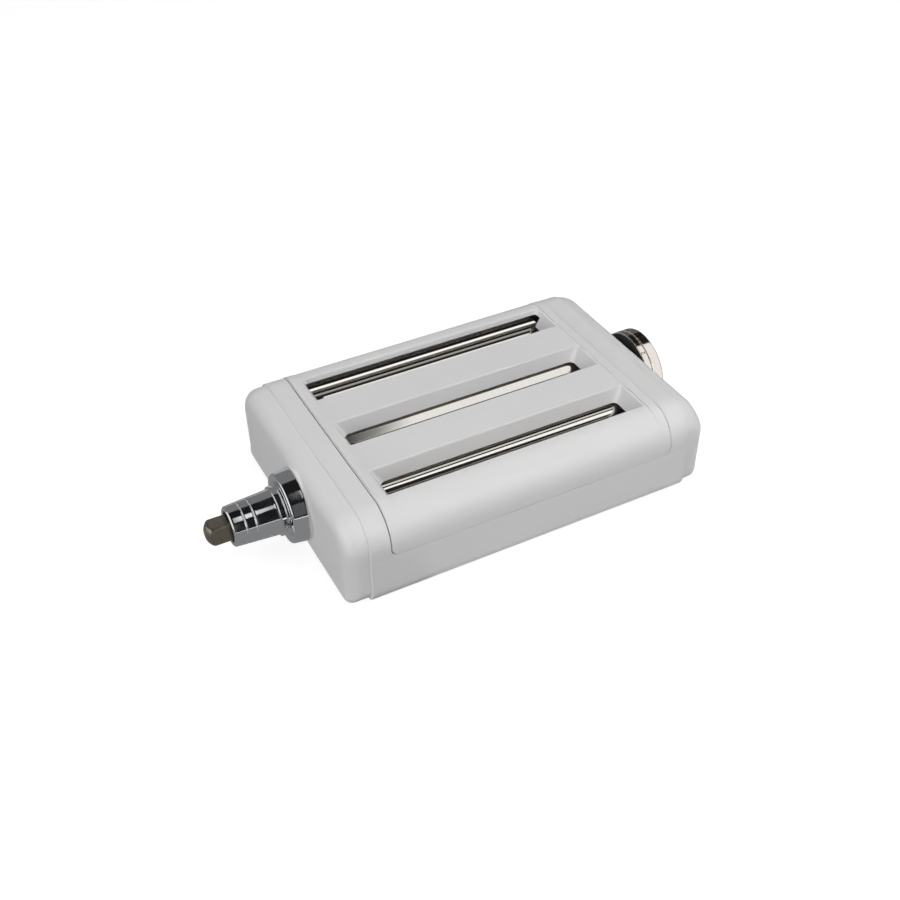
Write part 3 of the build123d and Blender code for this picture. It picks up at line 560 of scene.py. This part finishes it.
class PASTA_OT_rollers(bpy.types.Operator):
    """Turn the six polished rollers with their journals"""

    bl_idname = "pasta.rollers"
    bl_label = "Rollers"

    nodes = (
        "front_slot_front_roller", "front_slot_rear_roller", "sheet_front_roller", "sheet_rear_roller",
        "back_slot_front_roller", "back_slot_rear_roller")
    journal = 5.0 * MM
    bore = 5.02 * MM
    end_round = 0.8 * MM
    end_steps = 6

    def execute(self, context):
        """One lathe profile for each roller; the driven one is a sleeve on its shaft."""
        sizes = context.scene.roller_sizes
        left, right = MIDDLE - sizes.roller_length / 2, MIDDLE + sizes.roller_length / 2
        for node in self.nodes:
            low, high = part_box(node)
            axis = (low + high) / 2
            radius = (high.z - low.z) / 2
            if node == "sheet_front_roller":
                profile = [(left, self.bore), (left, radius), (right, radius), (right, self.bore)]
            else:
                profile = [
                    (low.x, 0.0), (low.x, self.journal), (left, self.journal), (left, radius),
                    (right, radius), (right, self.journal), (high.x, self.journal), (high.x, 0.0)]
            bm = lathe(eased(profile, self.end_round, self.end_steps), axis, sizes.segments)
            add_piece(node + "_polished", bm, body_of(node), "roller_steel", node)
        return {"FINISHED"}


class PASTA_OT_drive(bpy.types.Operator):
    """Turn the plated shank with its lug and dimple, and grind the square drive tip"""

    bl_idname = "pasta.drive"
    bl_label = "Drive shank and tip"

    # Shank: stations are distances back from its tip
    bore = 8.6 * MM
    spigot = 12.5 * MM
    flange_back = 38.5 * MM
    flange_rim = 0.8 * MM
    flange_radius = 20.2 * MM
    flange_face = 29.4 * MM
    flange_edge = 0.7 * MM
    flange_front = 19.3 * MM
    face_radius = 18.7 * MM
    collar_face = 28.2 * MM
    collar_radius = 15.4 * MM
    register_end = 25.2 * MM
    register_radius = 13.6 * MM
    barrel_root = 12.5 * MM
    barrel_tip = 11.0 * MM
    tip_chamfer = 0.8 * MM
    scribes = (12.6 * MM, 7.2 * MM)
    scribe_width = 0.7 * MM
    scribe_depth = 0.3 * MM
    dimple_back = 19.9 * MM
    dimple_angle = math.radians(204)
    dimple_radius = 1.5 * MM
    dimple_depth = 0.7 * MM
    dimple_sides = (48, 32)
    lug_depth = 3.4 * MM
    lug_height = 3.6 * MM
    lug_width = 6.0 * MM
    lug_reach = 18.6 * MM
    lug_edge = 0.5 * MM
    lug_edge_steps = 3
    # Shaft and its square tip, whose dome starts from a round nose
    square = 10.9 * MM
    square_corner = 1.2 * MM
    square_turn = math.radians(-5.4)
    square_sink = 2.7 * MM
    dome = 4.5 * MM
    dome_steps = 14
    dome_crowding = 1.6
    dome_fullness = 0.8
    dome_blend = 24
    nose = 3.0 * MM
    journal = 6.5 * MM
    journal_end = 36.6 * MM
    shaft = 5.0 * MM

    def execute(self, context):
        """Shank first, then the tip, which turns with the drive."""
        sizes = context.scene.roller_sizes
        blank = lathe(eased(self.shank_profile(), sizes.edge_round), DRIVE_AXIS, sizes.segments)
        name = "drive_shank_plated"
        shank = carved(name, blank, ("UNION", self.make_lug()), ("DIFFERENCE", self.make_dimple()))
        add_piece(name, shank, "housing", "shank_chrome", "drive_shank")
        shaft = self.make_shaft(sizes.segments)
        add_piece("drive_shaft_ground", shaft, "drive", "drive_steel", "drive_shaft")
        return {"FINISHED"}

    def barrel(self, back):
        """Radius of the shank's tapered barrel at a station."""
        return self.barrel_tip + (self.barrel_root - self.barrel_tip) * back / self.register_end

    def shank_profile(self):
        """Half section of the shank, from its inner end over the outside to its tip and back in the bore."""
        points = [
            (SHANK_END - SHANK_TIP, self.bore), (SHANK_END - SHANK_TIP, self.spigot),
            (self.flange_back, self.spigot), (self.flange_back, self.flange_radius),
            (self.flange_back - self.flange_rim, self.flange_radius),
            (self.flange_face + self.flange_edge, self.flange_front), (self.flange_face, self.face_radius),
            (self.flange_face, self.collar_radius), (self.collar_face, self.collar_radius),
            (self.collar_face, self.register_radius), (self.register_end, self.register_radius),
            (self.register_end, self.barrel_root)]
        for back in self.scribes:
            near, far = back - self.scribe_width / 2, back + self.scribe_width / 2
            points += [
                (far, self.barrel(far)), (back, self.barrel(back) - self.scribe_depth),
                (near, self.barrel(near))]
        points += [
            (self.tip_chamfer, self.barrel_tip), (0.0, self.barrel_tip - self.tip_chamfer),
            (0.0, self.bore + self.tip_chamfer / 2), (self.tip_chamfer / 2, self.bore)]
        return [(SHANK_TIP + back, radius) for back, radius in points]

    def make_lug(self):
        """Block with eased edges on the front of the flange's face, sunk into it by the easing."""
        bm = bmesh.new()
        place = Matrix.Translation((
            SHANK_TIP + self.flange_face - self.lug_depth / 2 + self.lug_edge / 2,
            DRIVE_AXIS.y - self.lug_reach + self.lug_height / 2, DRIVE_AXIS.z))
        size = Matrix.Diagonal((self.lug_depth + self.lug_edge, self.lug_height, self.lug_width, 1.0))
        bmesh.ops.create_cube(bm, size=1.0, matrix=place @ size)
        bmesh.ops.bevel(bm, geom=bm.edges, offset=self.lug_edge, segments=self.lug_edge_steps, profile=0.5,
                        affect="EDGES")
        return bm

    def make_dimple(self):
        """Ball that cuts the round dimple into the barrel."""
        out = Vector((0.0, math.cos(self.dimple_angle), math.sin(self.dimple_angle)))
        ball = (self.dimple_radius ** 2 + self.dimple_depth ** 2) / (2 * self.dimple_depth)
        centre = Vector((SHANK_TIP + self.dimple_back, DRIVE_AXIS.y, DRIVE_AXIS.z))
        centre += out * (self.barrel(self.dimple_back) + ball - self.dimple_depth)
        round_about, up_down = self.dimple_sides
        bm = bmesh.new()
        bmesh.ops.create_uvsphere(bm, u_segments=round_about, v_segments=up_down, radius=ball,
                                  matrix=Matrix.Translation(centre))
        return bm

    def section(self, angle):
        """Reach along an angle of the square with round corners."""
        half, corner = self.square / 2, self.square / 2 - self.square_corner
        c, s = abs(math.cos(angle)), abs(math.sin(angle))
        long, short = max(c, s), min(c, s)
        if short * half <= corner * long:
            return half / long
        along = corner * (long + short)
        return along + math.sqrt(along ** 2 - 2 * corner ** 2 + self.square_corner ** 2)

    def domed(self, back):
        """Reach of the dome at a distance from the tip, a round nose that opens out to the corners."""
        share = min(max(back / self.dome, 0.0), 1.0)
        full = self.square / 2 * math.sqrt(2)
        return self.nose + (full - self.nose) * math.sin(share * math.pi / 2) ** self.dome_fullness

    def make_shaft(self, sides):
        """Shaft with its journal, and the square tip whose domed end cuts across the corners."""
        low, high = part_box("drive_shaft")
        square_start = SHANK_TIP + self.square_sink
        journal_end = SHANK_TIP + self.journal_end
        shares = [k / self.dome_steps for k in range(self.dome_steps + 1)]
        stations = [self.dome * share ** self.dome_crowding for share in shares]
        bm = bmesh.new()
        rings = []
        for back in [*stations, square_start - low.x]:
            ring = []
            for k in range(sides):
                angle = 2 * math.pi * k / sides
                wide, reach = self.section(angle), self.domed(back)
                if back > 0:
                    reach = (wide ** -self.dome_blend + reach ** -self.dome_blend) ** (-1 / self.dome_blend)
                turn = angle + self.square_turn
                y, z = reach * math.cos(turn), reach * math.sin(turn)
                ring.append(bm.verts.new((low.x + back, DRIVE_AXIS.y + y, DRIVE_AXIS.z + z)))
            rings.append(ring)
        skin(bm, rings)
        return lathe([
            (square_start, 0.0), (square_start, self.journal), (journal_end, self.journal),
            (journal_end, self.shaft), (high.x, self.shaft), (high.x, 0.0)], DRIVE_AXIS, sides, bm)


class PASTA_OT_dial(bpy.types.Operator):
    """Turn the thickness dial's ring and grip, and engrave its numbers"""

    bl_idname = "pasta.dial"
    bl_label = "Thickness dial"

    chamfer = 1.0 * MM
    back_edge = 0.3 * MM
    back_rim = 0.4 * MM
    # Depth of the black paint on the ring's back face, a painted dark reflection
    painted_back_depth = 0.15 * MM
    bore = 5.02 * MM
    step = 0.4 * MM
    dish_radius = 19.0 * MM
    dish_depth = 2.2 * MM
    hub_radius = 9.5 * MM
    hub_edge = 0.6 * MM
    spindle_recess = 1.6 * MM
    # In digit heights: the font's size, and a digit's middle from the ring's back edge
    font_size = 1.4
    digit_middle = 0.55
    # How deep a digit's own middle lies in the ring, and half its thickness
    sunk = 0.05 * MM
    stroke = 0.14 * MM

    def execute(self, context):
        """Ring with its back face painted black as a painted dark reflection, grip and numbers."""
        sizes = context.scene.roller_sizes
        low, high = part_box("dial_ring")
        radius = (high.z - low.z) / 2
        groove = high.x - self.step
        painted_back_face, rim = low.x + self.painted_back_depth, radius - self.back_rim
        ring = [
            (painted_back_face, self.bore), (painted_back_face, rim), (low.x, rim), (low.x, radius - self.back_edge),
            (low.x + self.back_edge, radius), (groove, radius), (groove, radius - self.chamfer),
            (high.x, radius - self.chamfer), (high.x, self.bore)]
        bm = lathe(eased(ring, sizes.edge_round), DIAL_AXIS, sizes.segments)
        add_piece("dial_ring_polished", bm, "dial", "dial_chrome", "dial_ring")
        # The ring's back face is painted black with the numbers' enamel: a painted dark reflection
        back = [(low.x, self.bore), (low.x, rim), (painted_back_face, rim), (painted_back_face, self.bore)]
        add_piece("dial_ring_painted_back", lathe(back, DIAL_AXIS, sizes.segments), "dial", "engraving")
        low_grip, high_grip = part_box("dial_grip")
        end, dish = high_grip.x, high_grip.x - self.dish_depth
        hub_face = end - self.spindle_recess
        grip = [
            (low_grip.x, self.bore), (low_grip.x, radius), (end - self.chamfer, radius),
            (end, radius - self.chamfer), (end, self.dish_radius),
            (dish, self.dish_radius - self.dish_depth),
            (dish, self.hub_radius + self.hub_edge), (dish + self.hub_edge, self.hub_radius),
            (hub_face, self.hub_radius - self.hub_edge), (hub_face, self.bore)]
        bm = lathe(eased(grip, sizes.edge_round), DIAL_AXIS, sizes.segments)
        add_piece("dial_grip_polished", bm, "dial", "dial_chrome", "dial_grip")
        self.engrave(sizes, low.x + self.back_edge + self.digit_middle * sizes.digit_height, radius)
        return {"FINISHED"}

    def engrave(self, sizes, middle, radius):
        """Numbers laid round the ring, each bent to its curve."""
        bm = bmesh.new()
        for number in range(sizes.settings):
            text = bpy.data.curves.new("number", "FONT")
            text.body = str(number + 1)
            text.size = sizes.digit_height * self.font_size
            text.align_x = "CENTER"
            text.extrude = self.stroke
            flat = plain_mesh(bpy.data.objects.new("number", text))
            heights = [vertex.co.y for vertex in flat.vertices]
            centre = (min(heights) + max(heights)) / 2
            at = sizes.first_digit + 2 * math.pi * number / sizes.settings
            for vertex in flat.vertices:
                across, up, out = vertex.co.x, vertex.co.y - centre, vertex.co.z
                angle = at - across / radius
                reach = radius - self.sunk + out
                y, z = reach * math.cos(angle), reach * math.sin(angle)
                vertex.co = (middle - up, DIAL_AXIS.y + y, DIAL_AXIS.z + z)
            bm.from_mesh(flat)
        add_piece("dial_numbers", bm, "dial", "engraving")


class PASTA_OT_screws(bpy.types.Operator):
    """Set the cross-recess screws of the base, the plates, the shank and the dial with one tree of nodes"""

    bl_idname = "pasta.screws"
    bl_label = "Screws"

    # Node, the way its heads face (None: away from the middle along X) and the height of a head
    groups = (
        ("base_screws", Vector((0, 0, -1)), 1.3 * MM),
        ("plate_screws", None, 1.6 * MM),
        ("gear_plate_screws", Vector((-1, 0, 0)), 1.6 * MM),
        ("shank_screws", Vector((1, 0, 0)), 1.6 * MM),
        ("dial_screw", Vector((1, 0, 0)), 1.2 * MM),
    )
    shank = 1.65 * MM
    recess_width = 0.8 * MM
    recess_depth = 0.8 * MM
    # In radii of the head: the ball that rounds its top, and the most that the recess reaches
    dome = 5.0
    widest_recess = 0.6

    def execute(self, context):
        """One modifier run and one plain mesh for each group."""
        sizes = context.scene.roller_sizes
        tree = self.screw_tree(sizes.segments // 3)
        for node, facing, head in self.groups:
            boxes = loose_boxes(node)
            outward, points = [], []
            for low, high in boxes:
                way = facing or Vector((math.copysign(1, low.x + high.x - 2 * MIDDLE), 0, 0))
                along = abs(((high - low) / 2).dot(way))
                outward.append(way)
                points.append((low + high) / 2 + way * (along - head))
            seats = bpy.data.meshes.new(node + "_seats")
            seats.from_pydata(points, [], [])
            ways = seats.attributes.new("outward", "FLOAT_VECTOR", "POINT")
            ways.data.foreach_set("vector", [c for way in outward for c in way])
            # The head's width is the larger span across the screw's way
            span = boxes[0][1] - boxes[0][0]
            radius = max(size for size, along in zip(span, outward[0]) if not along) / 2
            values = {
                "Head Radius": radius, "Head Height": head, "Dome": self.dome * radius,
                "Shank Radius": self.shank, "Shank Length": abs(span.dot(outward[0])) - head,
                "Recess Reach": min(sizes.recess_reach, self.widest_recess * radius),
                "Recess Width": self.recess_width, "Recess Depth": self.recess_depth}
            name = node + "_driven"
            carrier = bpy.data.objects.new(name, seats)
            modifier = carrier.modifiers.new("screws", "NODES")
            modifier.node_group = tree
            for item in tree.interface.items_tree:
                if item.name in values:
                    modifier[item.identifier] = values[item.name]
            add_piece(name, bmesh_of(plain_mesh(carrier)), body_of(node), "screw_steel", node)
        return {"FINISHED"}

    def screw_tree(self, sides):
        """Tree that sets a domed head with a cross recess and a plain shank on every point."""
        tree = bpy.data.node_groups.new("cross_recess_screws", "GeometryNodeTree")
        tree.interface.new_socket("Seats", in_out="INPUT", socket_type="NodeSocketGeometry")
        for name in ("Head Radius", "Head Height", "Dome", "Shank Radius", "Shank Length", "Recess Reach",
                     "Recess Width", "Recess Depth"):
            socket = tree.interface.new_socket(name, in_out="INPUT", socket_type="NodeSocketFloat")
            socket.subtype = "DISTANCE"
        tree.interface.new_socket("Screws", in_out="OUTPUT", socket_type="NodeSocketGeometry")
        given = put(tree, "NodeGroupInput").outputs
        # Head: a cylinder, rounded by the top of a large ball
        half_head = put(tree, "ShaderNodeMath", {0: given["Head Height"], 1: 0.5}, operation="MULTIPLY")
        head_up = put(tree, "ShaderNodeCombineXYZ", {"Z": half_head.outputs[0]})
        blank = put(tree, "GeometryNodeMeshCylinder", {
            "Vertices": sides, "Radius": given["Head Radius"], "Depth": given["Head Height"]})
        head = put(tree, "GeometryNodeTransform", {
            "Geometry": blank.outputs["Mesh"], "Translation": head_up.outputs[0]})
        dome_drop = put(tree, "ShaderNodeMath", {0: given["Head Height"], 1: given["Dome"]},
                        operation="SUBTRACT")
        dome_place = put(tree, "ShaderNodeCombineXYZ", {"Z": dome_drop.outputs[0]})
        ball = put(tree, "GeometryNodeMeshUVSphere", {
            "Segments": sides, "Rings": 4 * sides, "Radius": given["Dome"]})
        dome = put(tree, "GeometryNodeTransform", {
            "Geometry": ball.outputs["Mesh"], "Translation": dome_place.outputs[0]})
        pan = put(tree, "GeometryNodeMeshBoolean", operation="INTERSECT", solver="EXACT")
        tree.links.new(head.outputs[0], pan.inputs["Mesh 2"])
        tree.links.new(dome.outputs[0], pan.inputs["Mesh 2"])
        # Recess: two crossed blocks, cut into the top of the head
        long = put(tree, "ShaderNodeMath", {0: given["Recess Reach"], 1: 2.0}, operation="MULTIPLY")
        deep = put(tree, "ShaderNodeMath", {0: given["Recess Depth"], 1: 2.0}, operation="MULTIPLY")
        recess_place = put(tree, "ShaderNodeCombineXYZ", {"Z": given["Head Height"]})
        cross = put(tree, "GeometryNodeMeshBoolean", {"Mesh 1": pan.outputs["Mesh"]},
                    operation="DIFFERENCE", solver="EXACT")
        for turn in ((long.outputs[0], given["Recess Width"]), (given["Recess Width"], long.outputs[0])):
            size = put(tree, "ShaderNodeCombineXYZ", {"X": turn[0], "Y": turn[1], "Z": deep.outputs[0]})
            wing = put(tree, "GeometryNodeMeshCube", {"Size": size.outputs[0]})
            placed = put(tree, "GeometryNodeTransform", {
                "Geometry": wing.outputs["Mesh"], "Translation": recess_place.outputs[0]})
            tree.links.new(placed.outputs[0], cross.inputs["Mesh 2"])
        # Shank, and the whole screw set on every seat
        half_shank = put(tree, "ShaderNodeMath", {0: given["Shank Length"], 1: -0.5}, operation="MULTIPLY")
        shank_down = put(tree, "ShaderNodeCombineXYZ", {"Z": half_shank.outputs[0]})
        rod = put(tree, "GeometryNodeMeshCylinder", {
            "Vertices": sides, "Radius": given["Shank Radius"], "Depth": given["Shank Length"]})
        shank = put(tree, "GeometryNodeTransform", {
            "Geometry": rod.outputs["Mesh"], "Translation": shank_down.outputs[0]})
        screw = put(tree, "GeometryNodeJoinGeometry")
        tree.links.new(cross.outputs["Mesh"], screw.inputs[0])
        tree.links.new(shank.outputs[0], screw.inputs[0])
        way = put(tree, "GeometryNodeInputNamedAttribute", {"Name": "outward"}, data_type="FLOAT_VECTOR")
        turned_way = put(tree, "FunctionNodeAlignRotationToVector", {
            "Vector": way.outputs["Attribute"]}, axis="Z")
        driven = put(tree, "GeometryNodeInstanceOnPoints", {
            "Points": given["Seats"], "Instance": screw.outputs[0], "Rotation": turned_way.outputs[0]})
        solid = put(tree, "GeometryNodeRealizeInstances", {"Geometry": driven.outputs[0]})
        put(tree, "NodeGroupOutput", {"Screws": solid.outputs[0]})
        return tree


class PASTA_OT_stage(bpy.types.Operator):
    """Lay the floor, hang the lights and the glowing cards that paint reflections into bright metal, and set
    the camera
    """

    bl_idname = "pasta.stage"
    bl_label = "Floor, light and camera"

    # Camera at the photograph's angle: what it looks at, from how far, its angles in radians and its lens
    target = Vector((-13.25, -39.4, 53.0)) * MM
    distance = 630.255 * MM
    azimuth = -0.472729
    elevation = 0.679564
    roll = -0.0180734
    lens = 48.5486
    nearest = 0.01
    farthest = 50.0
    # Light of the surroundings on things, and the floor's radius, sides and own glow
    sky = 0.12
    floor_radius = 4.0
    floor_sides = 96
    floor_glow = 0.83
    # Lamp, its place and size in metres and its power in watts
    lamps = (
        ("overhead_softbox", (0.15, 0.05, 1.6), 1.6, 9.2),
        ("key_softbox", (0.54, -0.82, 1.06), 0.6, 8.5),
        ("left_fill", (-1.5, -0.5, 0.45), 0.8, 11.5),
    )
    # Glowing cards that only mirrors show: their light and dark paint the reflections in the shank, rollers
    # and dial, and a painted highlight on the plastic's front
    card_radius = 1.5
    card_steps = 16
    black = 0.012
    # Bent card: X in metres with start and end angle, at the left and at the right, then brightness of both
    bent_cards = (
        ("canopy_left", (-1.5, 64, 205), (-0.2, 64, 205), (black, black)),
        ("canopy_flange", (-0.2, 64, 138), (-0.068, 64, 138), (black, black)),
        ("canopy_flange_sheen", (-0.2, 138, 174), (-0.068, 138, 174), (0.06, 0.13)),
        ("canopy_flange_front", (-0.2, 174, 205), (-0.068, 174, 205), (0.03, 0.03)),
        ("canopy_rear", (-0.068, 64, 102), (0.045, 64, 109), (black, black)),
        ("canopy_front", (-0.068, 130, 205), (0.045, 121, 205), (black, black)),
        ("canopy_gap_tip", (-0.068, 102, 130), (-0.03, 104, 127), (0.3, 1.3)),
        ("canopy_gap_root", (-0.03, 104, 127), (0.045, 109, 121), (1.3, 0.35)),
        ("canopy_right", (0.045, 64, 205), (0.32, 64, 205), (black, black)),
        ("back_left", (-1.5, -45, 64), (0.32, -45, 64), (0.2, 0.2)),
        ("back_right", (0.85, -45, 30), (1.7, -45, 30), (0.12, 0.12)),
        ("back_right_dark", (0.70, 30, 80), (1.7, 30, 80), (black, black)),
        ("front_highlight", (0.34, 141, 168), (0.70, 141, 168), (4.0, 4.0)),
    )
    # Flat card: height, then X with front and back edge, at the left and at the right, all in millimetres
    flat_cards = (
        ("table_left", 0.4, (-700, -600, 1200), (-40, -600, 1200), (0.26, 0.26)),
        ("table_right", 0.4, (142, -50, 1300), (1500, -50, 1300), (0.12, 0.12)),
        # The slot cards paint the stripes of reflected light and dark in the rollers
        ("front_slot_top", 80, (-60, -36.7, -29), (130, -42.6, -29), (black, black)),
        ("front_slot_light", 80, (-60, -44.4, -36.7), (130, -48.8, -42.6), (0.8, 0.8)),
        ("front_slot_line", 80, (-60, -51.0, -44.4), (130, -55.0, -48.8), (black, black)),
        ("front_slot_band", 80, (-60, -58.6, -51.0), (130, -74.6, -55.0), (1.2, 1.2)),
        ("front_slot_low", 80, (-60, -95, -58.6), (130, -95, -74.6), (0.02, 0.02)),
        ("middle_slot_dark", 80, (-50, -27.5, 12), (-22, -27.5, 12), (0.0, 0.3)),
        ("middle_slot_fade", 80, (-22, -27.5, 12), (0, -27.5, 12), (0.3, 0.95)),
        ("back_slot_low", 80, (-60, 24.8, 36.6), (130, 24.8, 36.6), (0.02, 0.02)),
        ("back_slot_dim", 80, (-60, 36.6, 40.2), (130, 36.6, 40.2), (0.08, 0.08)),
        ("back_slot_grey", 80, (-60, 40.2, 49), (130, 40.2, 49), (0.42, 0.42)),
        ("back_slot_top", 80, (-60, 49, 67.4), (130, 49, 67.4), (black, black)),
        # These two hang inside the body under the back slot: a painted glint and a painted dark band in the
        # rear roller
        ("back_slot_glint", 46, (-66, 56.8, 59.5), (100, 56.8, 59.5), (1.2, 1.2)),
        ("back_slot_inside", 46, (-66, 59.5, 68.8), (100, 59.5, 68.8), (black, black)),
    )

    def execute(self, context):
        """Camera, world, floor, lamps and the cards that bright metal mirrors."""
        scene = context.scene
        scene.view_settings.view_transform = "Standard"
        self.set_camera(scene)
        self.set_world(scene)
        self.lay_floor(scene)
        for lamp in self.lamps:
            self.hang_lamp(scene, *lamp)
        self.hang_cards(scene)
        return {"FINISHED"}

    def set_camera(self, scene):
        """Camera turned about its target, then rolled."""
        a, e = self.azimuth, self.elevation
        back = Vector((math.sin(a) * math.cos(e), -math.cos(a) * math.cos(e), math.sin(e)))
        right = (-back).cross(Vector((0, 0, 1))).normalized()
        up = right.cross(-back)
        c, s = math.cos(self.roll), math.sin(self.roll)
        turned_right, turned_up = right * c + up * s, up * c - right * s
        data = bpy.data.cameras.new("camera")
        data.lens = self.lens
        data.clip_start, data.clip_end = self.nearest, self.farthest
        camera = bpy.data.objects.new("camera", data)
        scene.collection.objects.link(camera)
        camera.matrix_world = Matrix.Translation(self.target + back * self.distance) @ Matrix(
            (turned_right, turned_up, back)).transposed().to_4x4()
        scene.camera = camera

    def seen(self, tree):
        """1 for rays from the camera, from mirrors and through glass, 0 for light that falls on things."""
        path = put(tree, "ShaderNodeLightPath")
        some = put(tree, "ShaderNodeMath", {
            0: path.outputs["Is Camera Ray"], 1: path.outputs["Is Glossy Ray"]}, operation="MAXIMUM")
        return put(tree, "ShaderNodeMath", {
            0: some.outputs[0], 1: path.outputs["Is Transmission Ray"]}, operation="MAXIMUM").outputs[0]

    def set_world(self, scene):
        """Even white surroundings that read white and light the object softly."""
        world = bpy.data.worlds.new("studio")
        world.use_nodes = True
        tree = world.node_tree
        shine = tree.nodes["Background"]
        shine.inputs["Color"].default_value = (1.0, 1.0, 1.0, 1.0)
        level = put(tree, "ShaderNodeMapRange", {
            "Value": self.seen(tree), "To Min": self.sky, "To Max": 1.0})
        tree.links.new(level.outputs["Result"], shine.inputs["Strength"])
        scene.world = world

    def hang_lamp(self, scene, name, place, size, power):
        """Soft square lamp aimed at the object, which mirrors don't show."""
        data = bpy.data.lights.new(name, "AREA")
        data.size = size
        data.energy = power
        lamp = bpy.data.objects.new(name, data)
        scene.collection.objects.link(lamp)
        aim = Vector(place).to_track_quat("Z", "Y")
        lamp.matrix_world = Matrix.Translation(place) @ aim.to_matrix().to_4x4()
        lamp.visible_glossy = False
        lamp.visible_camera = False

    def bare_finish(self, name):
        """New material without its Principled shader, and its tree."""
        finish = bpy.data.materials.new(name)
        finish.use_nodes = True
        tree = finish.node_tree
        tree.nodes.remove(tree.nodes["Principled BSDF"])
        return finish, tree

    def stand(self, scene, name, bm, finish):
        """Show a bmesh as a part of the stage."""
        mesh = bpy.data.meshes.new(name)
        bm.to_mesh(mesh)
        bm.free()
        mesh.materials.append(finish)
        made = bpy.data.objects.new(name, mesh)
        scene.collection.objects.link(made)
        return made

    def lay_floor(self, scene):
        """Pale matt floor that keeps the object's shadow."""
        finish, tree = self.bare_finish("matt_paper")
        matt = put(tree, "ShaderNodeBsdfDiffuse", {"Color": linear(scene.roller_colours.floor)})
        lift = put(tree, "ShaderNodeMath", {0: self.seen(tree), 1: self.floor_glow}, operation="MULTIPLY")
        glow = put(tree, "ShaderNodeEmission", {"Strength": lift.outputs[0]})
        both = put(tree, "ShaderNodeAddShader", {0: matt.outputs[0], 1: glow.outputs[0]})
        tree.links.new(both.outputs[0], tree.nodes["Material Output"].inputs["Surface"])
        bm = bmesh.new()
        bmesh.ops.create_circle(bm, cap_ends=True, segments=self.floor_sides, radius=self.floor_radius)
        self.stand(scene, "floor", bm, finish)

    def hang_cards(self, scene):
        """Glowing cards that only glossy surfaces show, painting reflections into them: far ones bent about
        the X axis, flat ones near by.
        """
        for name, left, right, levels in self.bent_cards:
            rows = []
            for k in range(self.card_steps + 1):
                row = []
                for x, start, end in (left, right):
                    angle = math.radians(start + (end - start) * k / self.card_steps)
                    row.append((x, self.card_radius * math.cos(angle), self.card_radius * math.sin(angle)))
                rows.append(row)
            self.hang_card(scene, name, rows, levels)
        for name, height, left, right, levels in self.flat_cards:
            rows = [[(x * MM, edges[k] * MM, height * MM) for x, *edges in (left, right)] for k in (0, 1)]
            self.hang_card(scene, name, rows, levels)

    def hang_card(self, scene, name, rows, levels):
        """One card over rows of points, unseen by the camera and by light that falls on things."""
        finish, tree = self.bare_finish(name)
        place = put(tree, "ShaderNodeSeparateXYZ", {0: put(tree, "ShaderNodeTexCoord").outputs["Object"]})
        fade = put(tree, "ShaderNodeMapRange", {
            "Value": place.outputs["X"], "From Min": rows[0][0][0], "From Max": rows[0][1][0],
            "To Min": levels[0], "To Max": levels[1]})
        glow = put(tree, "ShaderNodeEmission", {"Strength": fade.outputs["Result"]})
        tree.links.new(glow.outputs[0], tree.nodes["Material Output"].inputs["Surface"])
        bm = bmesh.new()
        points = [[bm.verts.new(point) for point in row] for row in rows]
        for one, two in zip(points, points[1:]):
            bm.faces.new((one[0], one[1], two[1], two[0]))
        card = self.stand(scene, name, bm, finish)
        card.visible_camera = False
        card.visible_diffuse = False
        card.visible_shadow = False
        card.visible_transmission = False


class PASTA_PT_panel(bpy.types.Panel):
    """Sidebar list of the roller's pieces."""

    bl_idname = "PASTA_PT_panel"
    bl_label = "Pasta Roller"
    bl_space_type = "VIEW_3D"
    bl_region_type = "UI"
    bl_category = "Pasta Roller"

    def draw(self, context):
        """One button for each operator, then the sizes and colours."""
        for step in STEPS:
            self.layout.operator(step.bl_idname)
        for group in (context.scene.roller_sizes, context.scene.roller_colours):
            for key in group.bl_rna.properties.keys():
                if key not in ("rna_type", "name"):
                    self.layout.prop(group, key)


STEPS = (
    PASTA_OT_shells, PASTA_OT_caps, PASTA_OT_rollers, PASTA_OT_drive, PASTA_OT_dial, PASTA_OT_screws,
    PASTA_OT_stage)
CLASSES = (RollerSizes, RollerColours, *STEPS, PASTA_PT_panel)


def register():
    """Register the classes and hang the settings on the scene."""
    for each in CLASSES:
        bpy.utils.register_class(each)
    bpy.types.Scene.roller_sizes = bpy.props.PointerProperty(type=RollerSizes)
    bpy.types.Scene.roller_colours = bpy.props.PointerProperty(type=RollerColours)


def unregister():
    """Undo what register did."""
    del bpy.types.Scene.roller_colours
    del bpy.types.Scene.roller_sizes
    for each in reversed(CLASSES):
        bpy.utils.unregister_class(each)


def main():
    """Register the classes, then build every piece in order."""
    register()
    bpy.ops.pasta.shells()
    bpy.ops.pasta.caps()
    bpy.ops.pasta.rollers()
    bpy.ops.pasta.drive()
    bpy.ops.pasta.dial()
    bpy.ops.pasta.screws()
    bpy.ops.pasta.stage()


if __name__ == "__main__":
    main()
